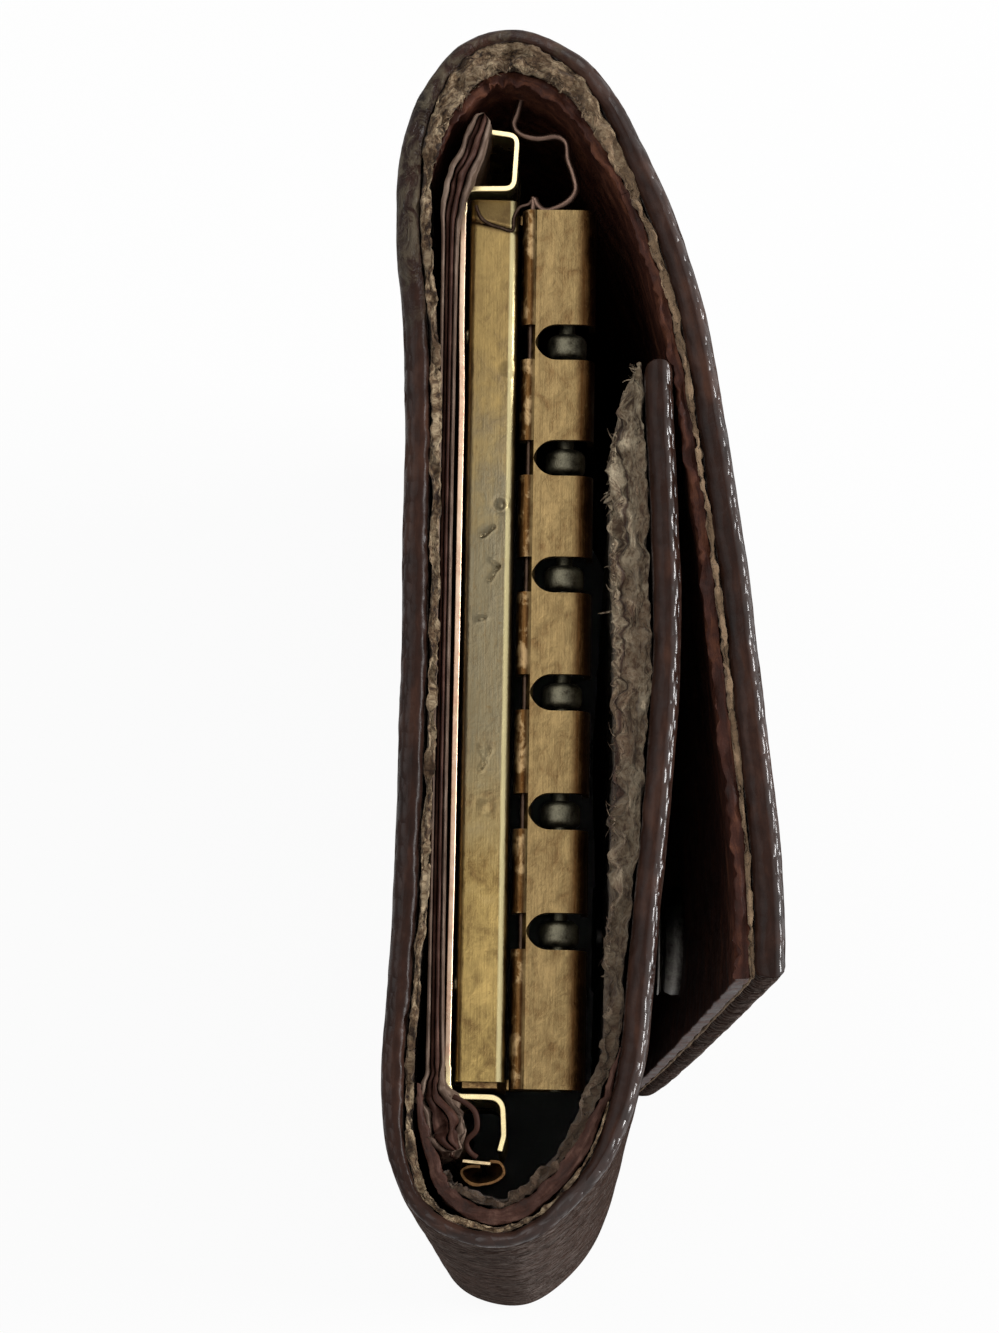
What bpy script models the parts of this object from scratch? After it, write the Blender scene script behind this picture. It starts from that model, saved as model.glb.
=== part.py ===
# Folding leather key wallet with a six-hook key bar, closed, standing on its edge.
# Metres. +X runs along the wallet's width, +Y to its back panel and +Z up to the open rim.
# The origin is at the middle of the wallet's foot.

import math

import bmesh
import bpy
from mathutils import Matrix, Vector

MM = 0.001

# Driving dimensions

WIDTH = 64.8 * MM
HEIGHT = 100.0 * MM
CONTACT_GAP = 0.3 * MM
LEATHER = 1.5 * MM
BACK_LINING = 0.5 * MM
FLAP_LINING = 0.4 * MM
INNER_LINING = 0.9 * MM
FOLD_DEPTH = 8.4 * MM
CREASE_INSET = 3.7 * MM

KEY_PANEL = 0.7 * MM
KEY_PANEL_TOP_DROP = 2.0 * MM
KEY_PANEL_HEIGHT = 32.0 * MM
KEY_PANEL_BEND_ROOM = 0.5 * MM
KEY_PANEL_TIP_RUN = 3.5 * MM
KEY_PANEL_TIP_LEAN = 1.6 * MM

BAR_END_ROOM = 8.6 * MM
BAR_TOP_DROP = 3.0 * MM
BAR_SHEET = 0.35 * MM
PLATE_SHEET = 0.3 * MM
PLATE_HEIGHT = 10.0 * MM
PLATE_TURN = 0.45 * MM
CLIP_DEPTH = 2.6 * MM
CLIP_REACH = 3.1 * MM
CLIP_RETURN = 1.1 * MM
ROLL_WIDTH = 1.35 * MM

CHANNEL_WIDTH = 2.4 * MM
CHANNEL_HEIGHT = 4.5 * MM
CHANNEL_CORNER = 0.45 * MM
END_PLATE = 0.5 * MM
RUNNING_GAP = 0.05 * MM

HINGE_WIRE_R = 0.2 * MM
GROOVE = 0.25 * MM
LID_REACH = 3.45 * MM
LID_WALL = 1.8 * MM
LID_CORNER = 0.8 * MM
LID_END_GAP = 0.25 * MM
CURL_DEGREES = 250.0

HOOK_COUNT = 6
HOOK_PITCH = 6.35 * MM
SLOT_WIDTH = 1.9 * MM
SLOT_BACK = 3.15 * MM
HOOK_ROD_R = 0.45 * MM
HOOK_ROD_DROP = 1.75 * MM
HOOK_ROD_INSET = 1.95 * MM
EYE_R = 1.2 * MM
EYE_WIDTH = 1.6 * MM
LOOP_WIRE_R = 0.4 * MM
LOOP_WIDTH = 4.8 * MM
LOOP_LENGTH = 26.0 * MM
LOOP_SHOULDER = 4.2 * MM

INNER_ROOM = 2.0 * MM
FLAP_STANDOFF = 3.3 * MM
FLAP_SPRING = 2.8 * MM

SNAP_X = 11.0 * MM
SNAP_DISC_R = 3.4 * MM
SNAP_CAP_R = 4.5 * MM
SNAP_CAP_RISE = 1.0 * MM
SNAP_CAP_CROWN_SHARES = ((0.0, 1.0), (0.5, 0.85), (0.85, 0.5), (1.0, 0.0))
SNAP_SHANK_R = 1.2 * MM
SNAP_SHEET = 0.25 * MM
SOCKET_HEIGHT = 0.8 * MM
SOCKET_BORE_R = 1.9 * MM
STUD_BALL_R = 1.6 * MM
STUD_BALL_RISE = 0.5 * MM
STUD_BALL_SHARES = ((0.8, 1.0), (1.0, 0.7), (0.85, 0.0))

RIVET_INSET = 5.8 * MM
RIVET_HEAD_R = 1.4 * MM
RIVET_HEAD = 0.5 * MM
RIVET_CROWN_SHARES = ((1.0, 0.0), (0.7, 0.7), (0.0, 1.0))
RIVET_SHANK_R = 0.7 * MM
RIVET_DROP = 7.6 * MM

CUT_OVERRUN = 1.0 * MM
JOIN_SINK = 0.1 * MM
WELD_DISTANCE = 0.0005 * MM
MITRE_LIMIT_SHARE = 0.3

# Levels through the thickness, from the back panel's outer face to the outer flap

cover_and_lining = LEATHER + CONTACT_GAP
back_stack = cover_and_lining + BACK_LINING + CONTACT_GAP
key_panel_depth = back_stack + KEY_PANEL / 2
plate_depth = back_stack + KEY_PANEL + CONTACT_GAP + PLATE_SHEET / 2
channel_back_depth = plate_depth + PLATE_SHEET / 2 + CONTACT_GAP
channel_front_depth = channel_back_depth + CHANNEL_WIDTH
curl_bore_r = HINGE_WIRE_R + RUNNING_GAP
curl_r = curl_bore_r + BAR_SHEET
pivot_depth = channel_front_depth + GROOVE + curl_r
lid_front_depth = pivot_depth + LID_REACH
rod_depth = pivot_depth + HOOK_ROD_INSET
inner_depth = lid_front_depth + INNER_ROOM + INNER_LINING + CONTACT_GAP + LEATHER
outer_depth = inner_depth + LEATHER + CONTACT_GAP + FLAP_LINING + FLAP_STANDOFF
back_y = outer_depth / 2

back_end = WIDTH / 2 - FOLD_DEPTH
bar_half = WIDTH / 2 - BAR_END_ROOM
bar_top = HEIGHT - BAR_TOP_DROP
hinge_z = bar_top - curl_r
rod_z = bar_top - HOOK_ROD_DROP
pivot_y = back_y - pivot_depth
rod_y = back_y - rod_depth

# Outlines of the leather strip at the open rim, seen from above.
# The first share is of half the width, the second of the depth from the back face to the
# fullest part of the flap. Both run from the back panel's end, round the fold, to the free end.

OUTER_OUTLINE_SHARES = (
    (0.833, 0.026), (0.886, 0.060), (0.938, 0.107), (0.975, 0.167), (0.997, 0.243),
    (0.998, 0.310), (0.978, 0.405), (0.941, 0.490), (0.886, 0.562), (0.806, 0.633),
    (0.713, 0.697), (0.605, 0.757), (0.457, 0.810), (0.244, 0.869), (0.042, 0.914),
    (-0.225, 0.967), (-0.525, 1.0))

INNER_OUTLINE_SHARES = (
    (0.830, 0.035), (0.878, 0.068), (0.926, 0.106), (0.957, 0.148), (0.988, 0.252),
    (1.0, 0.387), (0.991, 0.523), (0.966, 0.628), (0.926, 0.710), (0.877, 0.774),
    (0.815, 0.839), (0.735, 0.884), (0.617, 0.916), (0.451, 0.945), (0.247, 0.981),
    (0.049, 1.0), (-0.154, 0.987), (-0.309, 0.968), (-0.407, 0.955))

OUTER_FOLD_END_SHARE = 0.713
INNER_FOLD_END_SHARE = 0.735
SPRING_START_SHARE = 0.3
SPRING_HEIGHT_POWER = 1.7


# Helpers for scene and materials

def clear_scene():
    for item in list(bpy.data.objects):
        bpy.data.objects.remove(item, do_unlink=True)


def collection(name):
    group = bpy.data.collections.new(name)
    bpy.context.scene.collection.children.link(group)
    return group


def material(name, colour, roughness, metallic=0.0):
    made = bpy.data.materials.new(name)
    made.use_nodes = True
    shader = made.node_tree.nodes["Principled BSDF"]
    shader.inputs["Base Color"].default_value = (*colour, 1.0)
    shader.inputs["Roughness"].default_value = roughness
    shader.inputs["Metallic"].default_value = metallic
    made.diffuse_color = (*colour, 1.0)
    return made


clear_scene()
wallet = collection("key_wallet")
cutters = collection("cutters")

COVER = material("dark_brown_leather", (0.045, 0.022, 0.017), 0.35)
SUEDE = material("tan_suede", (0.22, 0.16, 0.11), 0.9)
PANEL = material("red_brown_leather", (0.12, 0.05, 0.03), 0.6)
BRASS = material("worn_brass", (0.55, 0.42, 0.20), 0.35, 1.0)
DARK_STEEL = material("dark_steel", (0.10, 0.095, 0.09), 0.45, 1.0)
NICKEL = material("dull_nickel", (0.45, 0.43, 0.40), 0.35, 1.0)


def place(name, mesh, look, group=wallet):
    item = bpy.data.objects.new(name, mesh)
    group.objects.link(item)
    if look is not None and not mesh.materials:
        mesh.materials.append(look)
    return item


def face_outwards(work):
    bmesh.ops.recalc_face_normals(work, faces=work.faces)
    if work.calc_volume(signed=True) < 0.0:
        bmesh.ops.reverse_faces(work, faces=work.faces)


def mesh_of(name, build):
    work = bmesh.new()
    build(work)
    face_outwards(work)
    mesh = bpy.data.meshes.new(name)
    work.to_mesh(mesh)
    work.free()
    return mesh


def curve_to_mesh(name, curve):
    carrier = bpy.data.objects.new(name + "_curve", curve)
    wallet.objects.link(carrier)
    bpy.context.view_layer.update()
    evaluated = carrier.evaluated_get(bpy.context.evaluated_depsgraph_get())
    mesh = bpy.data.meshes.new_from_object(evaluated)
    bpy.data.objects.remove(carrier, do_unlink=True)
    bpy.data.curves.remove(curve)
    work = bmesh.new()
    work.from_mesh(mesh)
    bmesh.ops.remove_doubles(work, verts=work.verts, dist=WELD_DISTANCE)
    face_outwards(work)
    work.to_mesh(mesh)
    work.free()
    mesh.name = name
    return mesh


def plate_mesh(name, outline, thickness, axes):
    """A flat outline, extruded to a thickness. axes gives the world direction of its x, y and z."""
    curve = bpy.data.curves.new(name, "CURVE")
    curve.dimensions = "2D"
    curve.fill_mode = "BOTH"
    curve.extrude = thickness / 2
    line = curve.splines.new("POLY")
    line.points.add(len(outline) - 1)
    for point, (x, y) in zip(line.points, outline):
        point.co = (x, y, 0.0, 1.0)
    line.use_cyclic_u = True
    mesh = curve_to_mesh(name, curve)
    turn = Matrix([Vector(axis) for axis in axes]).transposed().to_4x4()
    mesh.transform(turn)
    return mesh


def wire_mesh(name, points, radius, closed=False, resolution=2):
    curve = bpy.data.curves.new(name, "CURVE")
    curve.dimensions = "3D"
    curve.bevel_depth = radius
    curve.bevel_resolution = resolution
    curve.use_fill_caps = not closed
    line = curve.splines.new("POLY")
    line.points.add(len(points) - 1)
    for point, place_at in zip(line.points, points):
        point.co = (*place_at, 1.0)
    line.use_cyclic_u = closed
    return curve_to_mesh(name, curve)


def turned_mesh(name, profile, sides, axis, centre):
    """A profile of (radius, height) turned about an axis; it starts and ends on the axis or closes."""
    closed = profile[0][0] > 0.0

    def build(work):
        line = [work.verts.new((radius, 0.0, height)) for radius, height in profile]
        edges = [work.edges.new(pair) for pair in zip(line, line[1:])]
        if closed:
            edges.append(work.edges.new((line[-1], line[0])))
        bmesh.ops.spin(work, geom=line + edges, cent=(0, 0, 0), axis=(0, 0, 1),
                       angle=math.tau, steps=sides, use_duplicate=False)
        bmesh.ops.remove_doubles(work, verts=work.verts, dist=WELD_DISTANCE)

    mesh = mesh_of(name, build)
    turn = Vector((0, 0, 1)).rotation_difference(Vector(axis)).to_matrix().to_4x4()
    mesh.transform(Matrix.Translation(Vector(centre)) @ turn)
    return mesh


def smooth(mesh):
    mesh.shade_smooth()
    mesh.set_sharp_from_angle(angle=math.radians(40.0))


def cut(item, mesh, operation="DIFFERENCE"):
    tool = place(item.name + "_cutter", mesh, None, cutters)
    tool.hide_render = True
    tool.display_type = "WIRE"
    step = item.modifiers.new("cut", "BOOLEAN")
    step.operation = operation
    step.solver = "EXACT"
    step.object = tool
    return tool


def bake(item):
    """Keeps an object's modified shape as its mesh, so that copies can share it."""
    bpy.context.view_layer.update()
    evaluated = item.evaluated_get(bpy.context.evaluated_depsgraph_get())
    mesh = bpy.data.meshes.new_from_object(evaluated)
    item.modifiers.clear()
    item.data = mesh
    return mesh


# Sheet metal

def arc(centre, radius, start, end, steps):
    """Points on an arc, angles in degrees."""
    points = []
    for index in range(steps + 1):
        angle = math.radians(start + (end - start) * index / steps)
        points.append((centre[0] + radius * math.cos(angle), centre[1] + radius * math.sin(angle)))
    return points


def rounded(points, radius, steps=4):
    """An open line with each inner corner replaced by points on a smooth bend."""
    line = [Vector(point) for point in points]
    result = [line[0]]
    for before, corner, after in zip(line, line[1:], line[2:]):
        into = (corner - before).normalized()
        out = (after - corner).normalized()
        turn = into.angle(out, 0.0)
        reach = radius * math.tan(turn / 2)
        start = corner - into * reach
        end = corner + out * reach
        for index in range(steps + 1):
            share = index / steps
            first = start.lerp(corner, share)
            second = corner.lerp(end, share)
            result.append(first.lerp(second, share))
    result.append(line[-1])
    return [tuple(point) for point in result]


def sheet_outline(line, thickness):
    """The closed outline of a bent sheet whose middle follows an open line."""
    points = [Vector(point) for point in line]
    left = []
    right = []
    for index, point in enumerate(points):
        before = points[max(index - 1, 0)]
        after = points[min(index + 1, len(points) - 1)]
        into = (point - before).normalized() if index else (after - point).normalized()
        out = (after - point).normalized() if index < len(points) - 1 else into
        along = (into + out).normalized()
        spread = thickness / 2 / max(along.dot(into), MITRE_LIMIT_SHARE)
        side = Vector((-along.y, along.x)) * spread
        left.append(tuple(point + side))
        right.append(tuple(point - side))
    return left + right[::-1]


# The leather strip

class Strip:
    """Half of the leather strip seen from above: its outer face from the back's middle round
    one fold to the free end, with distances measured along it."""

    def __init__(self, side, shares, depth, fold_end_share):
        self.side = side
        knots = [(0.0, back_y), (back_end / 2, back_y), (back_end, back_y)]
        knots += [(WIDTH / 2 * across, back_y - depth * down) for across, down in shares]
        self.points = [Vector(point) for point in self.smoothed(knots)]
        self.lengths = [0.0]
        for first, second in zip(self.points, self.points[1:]):
            self.lengths.append(self.lengths[-1] + (second - first).length)
        self.total = self.lengths[-1]
        self.fold_start = back_end
        self.fold_end = self.crossing(WIDTH / 2 * fold_end_share)

    def crossing(self, x):
        """The distance at which the strip comes back from its fold past a given x."""
        for index, (first, second) in enumerate(zip(self.points, self.points[1:])):
            if first.x >= x > second.x:
                share = (first.x - x) / (first.x - second.x)
                return self.lengths[index] + share * (second - first).length
        return self.total

    @staticmethod
    def smoothed(knots, steps=6):
        """A Catmull-Rom curve through the knots."""
        ends = [knots[0]] + knots + [knots[-1]]
        result = []
        for p0, p1, p2, p3 in zip(ends, ends[1:], ends[2:], ends[3:]):
            for index in range(steps):
                t = index / steps
                point = []
                for a, b, c, d in zip(p0, p1, p2, p3):
                    point.append(0.5 * (2 * b + (c - a) * t + (2 * a - 5 * b + 4 * c - d) * t ** 2
                                        + (3 * b - a - 3 * c + d) * t ** 3))
                result.append(tuple(point))
        result.append(knots[-1])
        return result

    def at(self, distance):
        """Place and inward normal on the outer face, at a distance from the back's middle."""
        distance = min(max(distance, 0.0), self.total)
        index = 0
        while index < len(self.lengths) - 2 and self.lengths[index + 1] < distance:
            index += 1
        first, second = self.points[index], self.points[index + 1]
        span = self.lengths[index + 1] - self.lengths[index]
        spot = first.lerp(second, (distance - self.lengths[index]) / span)
        before = self.points[max(index - 1, 0)]
        after = self.points[min(index + 2, len(self.points) - 1)]
        along = (after - before).normalized()
        return spot, Vector((along.y, -along.x))

    def place(self, distance, inset, height, spring=0.0):
        """World position of a point of the strip at a distance, depth and height."""
        spot, inward = self.at(distance)
        point = spot + inward * inset
        start = self.fold_end + (self.total - self.fold_end) * SPRING_START_SHARE
        along = max(distance - start, 0.0) / (self.total - start)
        drop = 1.0 - (max(height, 0.0) / HEIGHT) ** SPRING_HEIGHT_POWER
        return Vector((self.side * point.x, point.y + spring * along ** 2 * drop, height))


def leather(name, strip, start, end, inset, thickness, look, steps, rows, spring=0.0):
    """A flat piece of leather, cut as a strip and bent round the wallet's outline."""
    def build(work):
        bmesh.ops.create_cube(work, size=1.0)
        along = [edge for edge in work.edges
                 if abs((edge.verts[0].co - edge.verts[1].co).x) > 0.5]
        bmesh.ops.subdivide_edges(work, edges=along, cuts=steps - 1, use_grid_fill=True)
        upright = [edge for edge in work.edges
                   if abs((edge.verts[0].co - edge.verts[1].co).z) > 0.5]
        if rows > 1:
            bmesh.ops.subdivide_edges(work, edges=upright, cuts=rows - 1, use_grid_fill=True)
        for vertex in work.verts:
            share, across, up = (value + 0.5 for value in vertex.co)
            vertex.co = strip.place(start + (end - start) * share, inset + thickness * across,
                                    HEIGHT * up, spring)

    return place(name, mesh_of(name, build), look)


outer_strip = Strip(1.0, OUTER_OUTLINE_SHARES, outer_depth, OUTER_FOLD_END_SHARE)
inner_strip = Strip(-1.0, INNER_OUTLINE_SHARES, inner_depth, INNER_FOLD_END_SHARE)


def flat_back(name, depth, thickness, look):
    """A flat rectangle of leather in the back panel."""
    def build(work):
        bmesh.ops.create_cube(work, size=1.0)
        bmesh.ops.scale(work, vec=(2 * back_end, thickness, HEIGHT), verts=work.verts)
        middle = (0.0, back_y - depth - thickness / 2, HEIGHT / 2)
        bmesh.ops.translate(work, vec=middle, verts=work.verts)

    return place(name, mesh_of(name, build), look)


cover_back = flat_back("cover_back", 0.0, LEATHER, COVER)
lining_back = flat_back("lining_back", cover_and_lining, BACK_LINING, SUEDE)

for strip, label, lining, spring in ((outer_strip, "outer", FLAP_LINING, FLAP_SPRING),
                                     (inner_strip, "inner", INNER_LINING, 0.0)):
    fold_from = strip.fold_start + CONTACT_GAP
    flap_from = strip.fold_end + CONTACT_GAP
    fold_lining = min(lining, BACK_LINING)
    rows = 8 if spring else 1
    layers = (("cover_", 0.0, LEATHER, LEATHER, COVER),
              ("lining_", cover_and_lining, fold_lining, lining, SUEDE))
    for layer, inset, fold_thickness, flap_thickness, look in layers:
        leather(f"{layer}{label}_fold", strip, fold_from, strip.fold_end, inset, fold_thickness,
                look, 16, 1)
        leather(f"{layer}{label}_flap", strip, flap_from, strip.total, inset, flap_thickness,
                look, 14, rows, spring)


# The key panel: a doubled leather sheet that carries the bar, its ends leaning in

def key_panel():
    middle_y = back_y - key_panel_depth
    bend_x = bar_half + KEY_PANEL_BEND_ROOM
    tip_x = bend_x + KEY_PANEL_TIP_RUN
    tip_y = middle_y - KEY_PANEL_TIP_LEAN
    line = [(-tip_x, tip_y), (-bend_x, middle_y), (bend_x, middle_y), (tip_x, tip_y)]
    outline = sheet_outline(rounded(line, KEY_PANEL, 3), KEY_PANEL)
    mesh = plate_mesh("key_panel", outline, KEY_PANEL_HEIGHT, ((1, 0, 0), (0, 1, 0), (0, 0, 1)))
    mesh.transform(Matrix.Translation((0, 0, HEIGHT - KEY_PANEL_TOP_DROP - KEY_PANEL_HEIGHT / 2)))
    return place("key_panel", mesh, PANEL)


panel = key_panel()


# The base plate: a strip of brass sheet, both ends bent forward into clips

def base_plate():
    y = back_y - plate_depth
    clip_x = bar_half + CONTACT_GAP + PLATE_SHEET / 2
    clip_y = y - CLIP_DEPTH
    far_x = clip_x + CLIP_REACH
    far_roll = far_x + ROLL_WIDTH
    end_y = clip_y + CLIP_RETURN
    line = [(-far_x - CONTACT_GAP, end_y), (-far_roll, end_y), (-far_roll, clip_y),
            (-clip_x, clip_y), (-clip_x, y), (clip_x, y), (clip_x, clip_y),
            (far_x, clip_y), (far_x, end_y)]
    outline = sheet_outline(rounded(line, PLATE_TURN), PLATE_SHEET)
    mesh = plate_mesh("base_plate", outline, PLATE_HEIGHT, ((1, 0, 0), (0, 1, 0), (0, 0, 1)))
    mesh.transform(Matrix.Translation((0, 0, bar_top - PLATE_HEIGHT / 2)))
    return place("base_plate", mesh, BRASS)


plate = base_plate()

ACROSS = ((0, 1, 0), (0, 0, 1), (1, 0, 0))


# The bar frame: an inverted channel with an end plate at each end that holds both wires

def bar_frame():
    front = back_y - channel_front_depth
    back = back_y - channel_back_depth
    skin = BAR_SHEET / 2
    foot = bar_top - CHANNEL_HEIGHT
    line = [(back - skin, foot), (back - skin, bar_top - skin),
            (front + skin, bar_top - skin), (front + skin, foot)]
    section = sheet_outline(rounded(line, CHANNEL_CORNER), BAR_SHEET)
    span = 2 * (bar_half - END_PLATE + JOIN_SINK)
    frame = place("bar_frame", plate_mesh("bar_frame", section, span, ACROSS), BRASS)
    lug_r = HOOK_ROD_R + BAR_SHEET
    lug = arc((rod_y, rod_z), lug_r, 180, 270, 4)
    rear = back - JOIN_SINK
    cheek = [(rear, bar_top - CHANNEL_CORNER), (rear - CHANNEL_CORNER, bar_top - JOIN_SINK)]
    cheek += [(rod_y, bar_top - BAR_SHEET)] + lug
    cheek += [(front + JOIN_SINK, rod_z - lug_r), (front + JOIN_SINK, foot + JOIN_SINK)]
    cheek += [(rear, foot + JOIN_SINK)]
    for side in (-1, 1):
        mesh = plate_mesh("cheek", cheek, END_PLATE, ACROSS)
        mesh.transform(Matrix.Translation((side * (bar_half - END_PLATE / 2), 0, 0)))
        cut(frame, mesh, "UNION")
    for y, z, radius in ((pivot_y, hinge_z, HINGE_WIRE_R), (rod_y, rod_z, HOOK_ROD_R)):
        hole = wire_mesh("hole", [(-WIDTH / 2, y, z), (WIDTH / 2, y, z)], radius + RUNNING_GAP, False, 3)
        cut(frame, hole)
    return frame


frame = bar_frame()

# The hinge wire ends in a bent tail; its points run from the bar's end to inside the fold

TAIL_RUN_SHARES = (0.04, 0.02, 0.07, 0.19, 0.42, 0.66, 0.72, 0.76, 0.82, 0.95)
TAIL_SIDE_SHARES = (0.0, -0.35, -0.75, -1.0, -0.72, -0.72, -0.45, 0.30, 0.42, 0.20)
TAIL_LENGTH = 5.6 * MM
TAIL_SIDE = 2.3 * MM


def hinge_wire():
    start = bar_half + CONTACT_GAP + HINGE_WIRE_R
    knots = [(start + TAIL_LENGTH * run, pivot_y + TAIL_SIDE * side)
             for run, side in zip(TAIL_RUN_SHARES, TAIL_SIDE_SHARES)]
    straight = [(-bar_half - CONTACT_GAP, pivot_y), (bar_half, pivot_y)]
    route = straight + Strip.smoothed(knots, 3)
    points = [(x, y, hinge_z) for x, y in route]
    return place("hinge_wire", wire_mesh("hinge_wire", points, HINGE_WIRE_R), DARK_STEEL)


def hook_rod():
    reach = bar_half + CONTACT_GAP
    points = [(-reach, rod_y, rod_z), (reach, rod_y, rod_z)]
    return place("hook_rod", wire_mesh("hook_rod", points, HOOK_ROD_R), DARK_STEEL)


wire = hinge_wire()
rod = hook_rod()


# The slotted lid: brass sheet curled round the hinge wire, open in front between its teeth

def hook_places():
    middle = (HOOK_COUNT - 1) / 2
    return [(index - middle) * HOOK_PITCH for index in range(HOOK_COUNT)]


def slotted_lid():
    skin = BAR_SHEET / 2
    curl_line_r = curl_bore_r + skin
    curl = arc((0.0, 0.0), curl_line_r, 90 - CURL_DEGREES, 90, 14)
    top = curl_line_r
    front = -LID_REACH + skin
    foot = curl_r - LID_WALL
    sheet = rounded([(-curl_line_r, top), (front, top), (front, foot)], LID_CORNER - skin)
    section = sheet_outline(curl + sheet, BAR_SHEET)
    half = bar_half - END_PLATE - LID_END_GAP
    lid = place("slotted_lid", plate_mesh("slotted_lid", section, 2 * half, ACROSS), BRASS)
    slot_depth = LID_REACH - SLOT_BACK + curl_r
    for x in hook_places():
        lid_slot(lid, x, slot_depth)
    mesh = bake(lid)
    for tool in list(cutters.objects):
        if tool.name.startswith("slotted_lid"):
            bpy.data.objects.remove(tool, do_unlink=True)
    lid.location = (0, pivot_y, hinge_z)
    return lid


def lid_slot(lid, x, depth):
    radius = SLOT_WIDTH / 2
    back = -depth - radius
    reach = -LID_REACH - CUT_OVERRUN
    outline = [(x + radius, reach)] + [(x + px, back + py) for px, py in arc((0, 0), radius, 0, 180, 8)]
    outline += [(x - radius, reach)]
    mesh = plate_mesh("slot", outline, 2 * (LID_WALL + CUT_OVERRUN), ((1, 0, 0), (0, 1, 0), (0, 0, 1)))
    cut(lid, mesh)


lid = slotted_lid()


# The key hooks: an eye that turns on the rod, with a long wire loop under it

def loop_points():
    half = LOOP_WIDTH / 2
    top = -EYE_R
    shoulder = top - LOOP_SHOULDER
    foot = -LOOP_LENGTH + half
    points = []
    for index in range(5):
        share = index / 5
        ease = share * share * (3 - 2 * share)
        points.append((half * ease, top - LOOP_SHOULDER * share))
    points.append((half, shoulder))
    points.append((half, (shoulder + foot) / 2))
    points += [(x, foot + y) for x, y in arc((0, 0), half, 0, -180, 10)]
    points.append((-half, (shoulder + foot) / 2))
    points += [(-x, y) for x, y in reversed(points[1:6])]
    return [(x, 0.0, z) for x, z in points]


def hook_mesh():
    bore_r = HOOK_ROD_R + RUNNING_GAP
    half = EYE_WIDTH / 2
    corner = LOOP_WIRE_R / 2
    profile = [(bore_r, -half), (EYE_R - corner, -half), (EYE_R, corner - half),
               (EYE_R, half - corner), (EYE_R - corner, half), (bore_r, half)]
    ring = turned_mesh("eye", profile, 20, (1, 0, 0), (0, 0, 0))
    maker = place("hook_maker", wire_mesh("loop", loop_points(), LOOP_WIRE_R, True), DARK_STEEL)
    cut(maker, ring, "UNION")
    mesh = bake(maker)
    mesh.name = "key_hook"
    bpy.data.objects.remove(maker, do_unlink=True)
    return mesh


shared_hook = hook_mesh()
smooth(shared_hook)
for number, x in enumerate(hook_places(), start=1):
    hook = place(f"key_hook_{number}", shared_hook, DARK_STEEL)
    hook.location = (x, rod_y, rod_z)


# Rivets that hold the base plate to the key panel, below the channel

rivet_z = bar_top - RIVET_DROP


def rivet(name, x):
    plate_front = back_y - plate_depth - PLATE_SHEET / 2
    panel_back = back_y - key_panel_depth + KEY_PANEL / 2
    seat = plate_front - CONTACT_GAP
    length = panel_back - seat
    profile = [(0.0, length), (RIVET_SHANK_R, length), (RIVET_SHANK_R, 0.0)]
    profile += [(RIVET_HEAD_R * out, -RIVET_HEAD * rise) for out, rise in RIVET_CROWN_SHARES]
    mesh = turned_mesh(name, profile, 16, (0, 1, 0), (0, 0, 0))
    item = place(name, mesh, BRASS)
    item.location = (x, seat, rivet_z)
    for leaf in (plate, panel):
        hole = [(x, seat - CUT_OVERRUN, rivet_z), (x, panel_back + CUT_OVERRUN, rivet_z)]
        cut(leaf, wire_mesh("hole", hole, RIVET_SHANK_R + 2 * RUNNING_GAP, False, 3))
    return item


rivet("rivet_left", RIVET_INSET - bar_half)
rivet("rivet_right", bar_half - RIVET_INSET)


# The snap: cap and socket on the outer flap, stud and post on the inner flap

def face_extent(strip, inset, spring, side, radius):
    """The furthest y, on the front or the back, of a flap's face within a disc at the snap."""
    found = []
    steps = 60
    for index in range(steps + 1):
        distance = strip.fold_end + (strip.total - strip.fold_end) * index / steps
        for height_share in (-1.0, 0.0, 1.0):
            height = HEIGHT / 2 + radius * height_share
            spot = strip.place(distance, inset, height, spring)
            if abs(spot.x + SNAP_X) <= radius:
                found.append(spot.y)
    return side * max(side * value for value in found)


def snap_disc(name, profile, y, look):
    """A turned snap piece whose axis points to the front."""
    mesh = turned_mesh(name, profile, 24, (0, -1, 0), (0, 0, 0))
    smooth(mesh)
    item = place(name, mesh, look)
    item.location = (-SNAP_X, y, HEIGHT / 2)
    return item


def snap_hole(name, start, end):
    line = [(-SNAP_X, start, HEIGHT / 2), (-SNAP_X, end, HEIGHT / 2)]
    cut(bpy.data.objects[name], wire_mesh("hole", line, SNAP_SHANK_R + CONTACT_GAP / 2, False, 4))


outer_total = cover_and_lining + FLAP_LINING
inner_total = cover_and_lining + INNER_LINING
outer_front = face_extent(outer_strip, 0.0, FLAP_SPRING, -1, SNAP_CAP_R)
outer_inside = face_extent(outer_strip, outer_total, FLAP_SPRING, 1, SNAP_DISC_R)
inner_front = face_extent(inner_strip, 0.0, 0.0, -1, SNAP_DISC_R)
inner_inside = face_extent(inner_strip, inner_total, 0.0, 1, SNAP_DISC_R)

socket_seat = outer_inside + CONTACT_GAP
socket_profile = [(0.0, -SNAP_SHEET), (SOCKET_BORE_R, -SNAP_SHEET),
                  (SOCKET_BORE_R, -SOCKET_HEIGHT), (SNAP_DISC_R - SNAP_SHEET, -SOCKET_HEIGHT),
                  (SNAP_DISC_R, -SNAP_SHEET), (SNAP_DISC_R, 0.0), (0.0, 0.0)]
snap_disc("snap_socket", socket_profile, socket_seat, NICKEL)

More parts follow.
